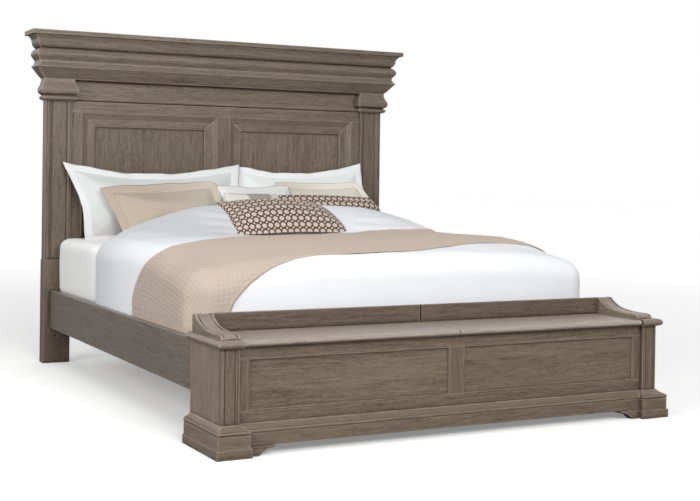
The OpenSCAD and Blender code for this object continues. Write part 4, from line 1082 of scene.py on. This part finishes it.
def under_duvet(o):
    """Bring the foot end of a block inside the made bed, and let the bare head corner fill out."""
    n = len(o.data.vertices)
    co = np.zeros(n * 3)
    o.data.vertices.foreach_get("co", co)
    P = co.reshape(-1, 3) / MM
    P[:, 1] += Y0
    bare = ease((P[:, 1] - 1330) / 160.0) * ease((-500 - P[:, 0]) / 250.0) * (P[:, 2] > 360)
    P[:, 0] -= 22.0 * bare * ease((-880 - P[:, 0]) / 60.0)
    P[:, 2] += 22.0 * bare * ease((P[:, 2] - 470) / 170.0)
    P[:, 1] += np.where(P[:, 0] > 0, 42.0, 78.0) * np.clip(np.abs(P[:, 0]) / HX, 0, 1) ** 4 * ease((620 - P[:, 1]) / 560.0)
    dx = np.clip(np.abs(P[:, 0]) - XT, 0, None)
    dy = np.clip(YT + 60 - P[:, 1], 0, None)
    r = np.clip(np.hypot(dx, dy) / RS, 0, 0.995)
    lid = bed_top(np.sign(P[:, 0]) * np.minimum(np.abs(P[:, 0]), XT), np.maximum(P[:, 1], YT)) - RS * (1 - np.sqrt(1 - r * r)) - 25.0
    foot = ease((1200 - P[:, 1]) / 200.0) > 0
    P[:, 2] = np.where(foot & (P[:, 2] > lid), lid + (P[:, 2] - 643.5) * 0.02, P[:, 2])
    P[:, 1] -= Y0
    o.data.vertices.foreach_set("co", (P * MM).ravel())
    o.data.update()


def make_mattress():
    o = soft_block("mattress_in_sheet", (-941, 62, 359.5), (941, 2069, 643.5), 46, 62, cotton("fitted_sheet", (0.935, 0.935, 0.93), 0.04),
                   crown=0.0, bulge=2.0, ripple=1.1, step=16)
    under_duvet(o)
    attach(o, BODY)
    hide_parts("mattress")
    f = soft_block("box_foundation", (-958, 40, 233), (958, 2071, 359), 14, 40, cotton("foundation_ticking", (0.80, 0.79, 0.77), 0.08),
                   bulge=1.0, piping=2.0, step=24)
    under_duvet(f)
    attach(f, BODY)
    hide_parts("foundation")


# ------------------------------------------------------------------ pillows
def inflate(w, h, nx, ny, pressure=4.0, frames=18, seed=0):
    """A flat pillowcase of two cloths sewn round the rim, blown up by a cloth simulation. Returns (front, back) grids in mm."""
    u = np.linspace(-w / 2, w / 2, nx)
    v = np.linspace(-h / 2, h / 2, ny)
    U, V = np.meshgrid(u, v)
    lens = (1 - (2 * U / w) ** 2) * (1 - (2 * V / h) ** 2)
    rough = 1 + 0.25 * lattice_noise((ny, nx), (5, 7), 100 + seed)
    n0 = 14.0 * lens * rough
    front = np.stack([U, V, n0], -1)
    back = np.stack([U, V, -n0], -1)
    o = two_sided("case_%d" % seed, front + np.array([0, Y0, 0]), back + np.array([0, Y0, 0]), np.stack([U, V], -1), None)
    sc = bpy.context.scene
    c = o.modifiers.new("cloth", "CLOTH")
    st = c.settings
    st.quality = 5
    st.mass = 0.25
    st.tension_stiffness = 18
    st.compression_stiffness = 14
    st.shear_stiffness = 6
    st.bending_stiffness = 0.25
    st.use_pressure = True
    st.uniform_pressure_force = pressure
    st.effector_weights.gravity = 0
    c.collision_settings.use_collision = False
    c.point_cache.frame_start = 1
    c.point_cache.frame_end = frames + 1
    for f in range(1, frames + 1):
        sc.frame_set(f)
    dg = bpy.context.evaluated_depsgraph_get()
    me = o.evaluated_get(dg).to_mesh()
    co = np.zeros(len(me.vertices) * 3)
    me.vertices.foreach_get("co", co)
    co = co.reshape(-1, 3) / MM
    o.evaluated_get(dg).to_mesh_clear()
    bpy.data.objects.remove(o)
    sc.frame_set(1)
    f = co[:ny * nx].reshape(ny, nx, 3).copy()
    b = f.copy()
    b[1:-1, 1:-1] = co[ny * nx:].reshape(ny - 2, nx - 2, 3)
    return f, b


def patch(net, s, t):
    """Biquadratic surface through a 3 x 3 net, rows from the bottom up."""
    L = lambda q: np.stack([2 * (q - 0.5) * (q - 1), 4 * q * (1 - q), 2 * q * (q - 0.5)], -1)
    net = np.array(net, float)
    return np.einsum("...i,...j,ijk->...k", L(t), L(s), net)


def pillow(name, net, w, h, thick, material, flange=0.0, quilt=False, nx=64, ny=44, k=2, seed=0, sag=0.0,
           flange_wave=4.0, extra=None, pressure=4.0, pull=0.7, calm=3):
    f, b = inflate(w, h, nx, ny, pressure, seed=seed)
    # keep the blown-up thickness and its wrinkles, and even out how far the seams draw in
    cu, cv = np.meshgrid(np.linspace(-w / 2, w / 2, nx), np.linspace(-h / 2, h / 2, ny))
    cut = np.stack([cu, cv], -1)
    for g in (f, b):
        g[..., :2] = cut + pull * blur(g[..., :2] - cut, calm)
    mid = (f[..., 2] + b[..., 2]) / 2
    rim = np.ones_like(mid, bool)
    rim[1:-1, 1:-1] = False
    soft = blur(mid, calm)
    for g in (f, b):
        g[..., 2] += soft * 0.6 - mid * 0.6
    b[rim] = f[rim]
    f, b = upsample(f, k), upsample(b, k)
    ny2, nx2 = f.shape[:2]
    top = max(f[..., 2].max(), -b[..., 2].min())
    f[..., 2] *= thick * 0.5 / top
    b[..., 2] *= thick * 0.5 / top
    ru, rv = np.meshgrid(np.linspace(-w / 2, w / 2, nx2), np.linspace(-h / 2, h / 2, ny2))
    rest = np.stack([ru, rv], -1)
    if quilt:
        cell = 20.0
        val = lambda c: np.abs(np.mod(c / cell + 0.5, 1.0) - 0.5) * 2
        low = np.sqrt(np.minimum(val(ru), val(rv)))
        rim = np.minimum(np.minimum(w / 2 - np.abs(ru), h / 2 - np.abs(rv)), 30) / 30
        f[..., 2] += 1.7 * low * rim
        b[..., 2] -= 1.7 * low * rim
    if sag:
        # the filling slumps towards the bottom edge
        f[..., 2] *= 1 - sag * (rv / h)
        b[..., 2] *= 1 - sag * (rv / h)
    if flange:
        nf = max(3, int(round(flange / (w / nx2) / 1.0)))
        nf = min(nf, 10)
        def extend(G, side):
            ys = np.clip(np.arange(-nf, ny2 + nf), 0, ny2 - 1)
            xs = np.clip(np.arange(-nf, nx2 + nf), 0, nx2 - 1)
            E = G[np.ix_(ys, xs)].copy()
            oy = (np.clip(np.arange(-nf, ny2 + nf), None, 0) + np.clip(np.arange(-nf, ny2 + nf) - (ny2 - 1), 0, None)) / nf
            ox = (np.clip(np.arange(-nf, nx2 + nf), None, 0) + np.clip(np.arange(-nf, nx2 + nf) - (nx2 - 1), 0, None)) / nf
            OX, OY = np.meshgrid(ox, oy)
            out = np.maximum(np.abs(OX), np.abs(OY))
            E[..., 0] += OX * flange
            E[..., 1] += OY * flange
            if G.shape[-1] == 3:
                arc = E[..., 0] / 47.0 + E[..., 1] / 39.0
                E[..., 2] += flange_wave * out ** 1.5 * (np.sin(arc + seed) + 0.5 * np.sin(arc * 2.3 + 2 * seed))
                skin = np.where(out > 0, 1.6 * (1 - 0.6 * out), 0.0)
                skin = np.where((out > 0) & (out <= 1.0 / nf + 1e-6), 0.8, skin)
                E[..., 2] += side * skin
            return E
        f, b, rest = extend(f, 1), extend(b, -1), extend(rest, 0)
        rimv = (f + b) / 2
        for sl in (np.s_[0], np.s_[-1], np.s_[:, 0], np.s_[:, -1]):
            f[sl] = rimv[sl]
            b[sl] = rimv[sl]
    W, H = w + 2 * flange, h + 2 * flange

    def place(G):
        s = G[..., 0] / W + 0.5
        t = G[..., 1] / H + 0.5
        e = 1e-3
        p = patch(net, s, t)
        ds = patch(net, s + e, t) - patch(net, s - e, t)
        dt = patch(net, s, t + e) - patch(net, s, t - e)
        n = np.cross(ds, dt)
        n /= np.linalg.norm(n, axis=-1, keepdims=True)
        return p + n * G[..., 2:3]
    F, B = place(f), place(b)
    if extra:
        F, B = extra(F), extra(B)
    o = two_sided(name, F, B, rest * MM, material)
    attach(o, BODY)
    return o


def make_pillows():
    sham = sham_cloth("white_sham_cotton", (0.69, 0.73, 0.714), (0.79, 0.80, 0.805), 0.914, 0.500)
    # the right sham takes a paler copy of the same cotton: painted light
    sham_painted_lit = sham_cloth("white_sham_cotton_right", (0.83, 0.88, 0.865), (0.87, 0.88, 0.88), 0.914, 0.500)
    a = pillow("white_sham_left", [[(-878, 1868, 646), (-410, 1850, 640), (40, 1868, 646)],
                                   [(-884, 1972, 850), (-440, 1945, 838), (62, 1968, 852)],
                                   [(-950, 2076, 1084), (-450, 2060, 1031), (96, 2072, 1084)]],
               914, 500, 165, sham, flange=50, seed=1, sag=0.5, pull=0.22)
    b = pillow("white_sham_right", [[(42, 1925, 646), (480, 1910, 640), (922, 1925, 646)],
                                    [(46, 2002, 852), (470, 1985, 842), (893, 2000, 860)],
                                    [(58, 2086, 1074), (470, 2066, 1046), (884, 2082, 1100)]],
               914, 500, 140, sham_painted_lit, flange=50, seed=2, sag=0.5, pull=0.2)
    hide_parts("sham_pillows")
    beige = quilt_cloth("matelasse_sham_left", (0.49, 0.405, 0.327), cell=0.020, line=0.22, field=(0.58, 0.30), fade=(-0.05, 0.27), far=(0.60, 0.545, 0.455))
    pale = quilt_cloth("matelasse_sham_right", (0.62, 0.575, 0.48), cell=0.020, line=0.22, field=(0.56, 0.30), fade=(-0.28, 0.10), far=(0.80, 0.76, 0.67))
    c = pillow("quilted_sham_left", [[(-702, 1716, 676), (-410, 1700, 664), (-104, 1716, 672)],
                                     [(-748, 1812, 810), (-420, 1796, 812), (-90, 1834, 838)],
                                     [(-790, 1916, 932), (-440, 1925, 978), (-112, 1925, 968)]],
               580, 300, 105, beige, flange=55, quilt=True, seed=3, nx=46, ny=28, k=3, sag=0.3, flange_wave=2.0, pull=0.3)
    d = pillow("quilted_sham_right", [[(262, 1800, 700), (570, 1790, 690), (905, 1800, 742)],
                                      [(262, 1885, 838), (565, 1872, 842), (872, 1888, 862)],
                                      [(244, 1952, 974), (540, 1955, 988), (796, 1954, 976)]],
               560, 300, 100, pale, flange=50, quilt=True, seed=4, nx=46, ny=28, k=3, sag=0.3, flange_wave=2.0, pull=0.3)
    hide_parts("quilted_shams")
    white = cotton("white_pillow_cotton", (0.78, 0.785, 0.78), 0.06)
    e = pillow("white_centre_pillow", [[(-150, 1752, 660), (90, 1740, 656), (345, 1752, 660)],
                                       [(-132, 1845, 806), (95, 1830, 815), (345, 1845, 820)],
                                       [(-120, 1908, 960), (100, 1914, 968), (326, 1912, 962)]],
               500, 330, 115, white, seed=5, nx=44, ny=30, k=2, sag=0.2, pull=0.35)
    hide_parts("small_pillows")
    cream = banded_cloth("cream_and_grey_cotton", (0.70, 0.68, 0.62), (0.46, 0.43, 0.40), -0.035, 0.105)
    pillow("cream_small_pillow", [[(-126, 1722, 780), (40, 1716, 778), (212, 1722, 780)],
                                  [(-124, 1766, 848), (40, 1758, 852), (212, 1768, 846)],
                                  [(-122, 1806, 914), (40, 1808, 918), (208, 1806, 908)]],
           320, 170, 70, cream, seed=6, nx=40, ny=24, k=2, pull=0.3)
    printed = chain_print("chain_print_cotton")
    pillow("printed_lumbar_front", [[(-206, 1425, 702), (105, 1405, 698), (446, 1425, 714)],
                                    [(-205, 1584, 800), (105, 1570, 826), (462, 1584, 800)],
                                    [(-203, 1757, 866), (105, 1747, 862), (436, 1757, 854)]],
           650, 380, 100, printed, seed=7, nx=60, ny=38, k=2, pull=0.25)
    pillow("printed_lumbar_rear", [[(112, 1772, 712), (490, 1766, 708), (905, 1772, 716)],
                                   [(114, 1806, 806), (490, 1800, 814), (880, 1806, 806)],
                                   [(120, 1840, 904), (490, 1843, 914), (812, 1840, 892)]],
           690, 200, 78, printed, seed=8, nx=60, ny=24, k=2, pull=0.2)


make_mattress()
make_duvet()
make_coverlet()
make_pillows()
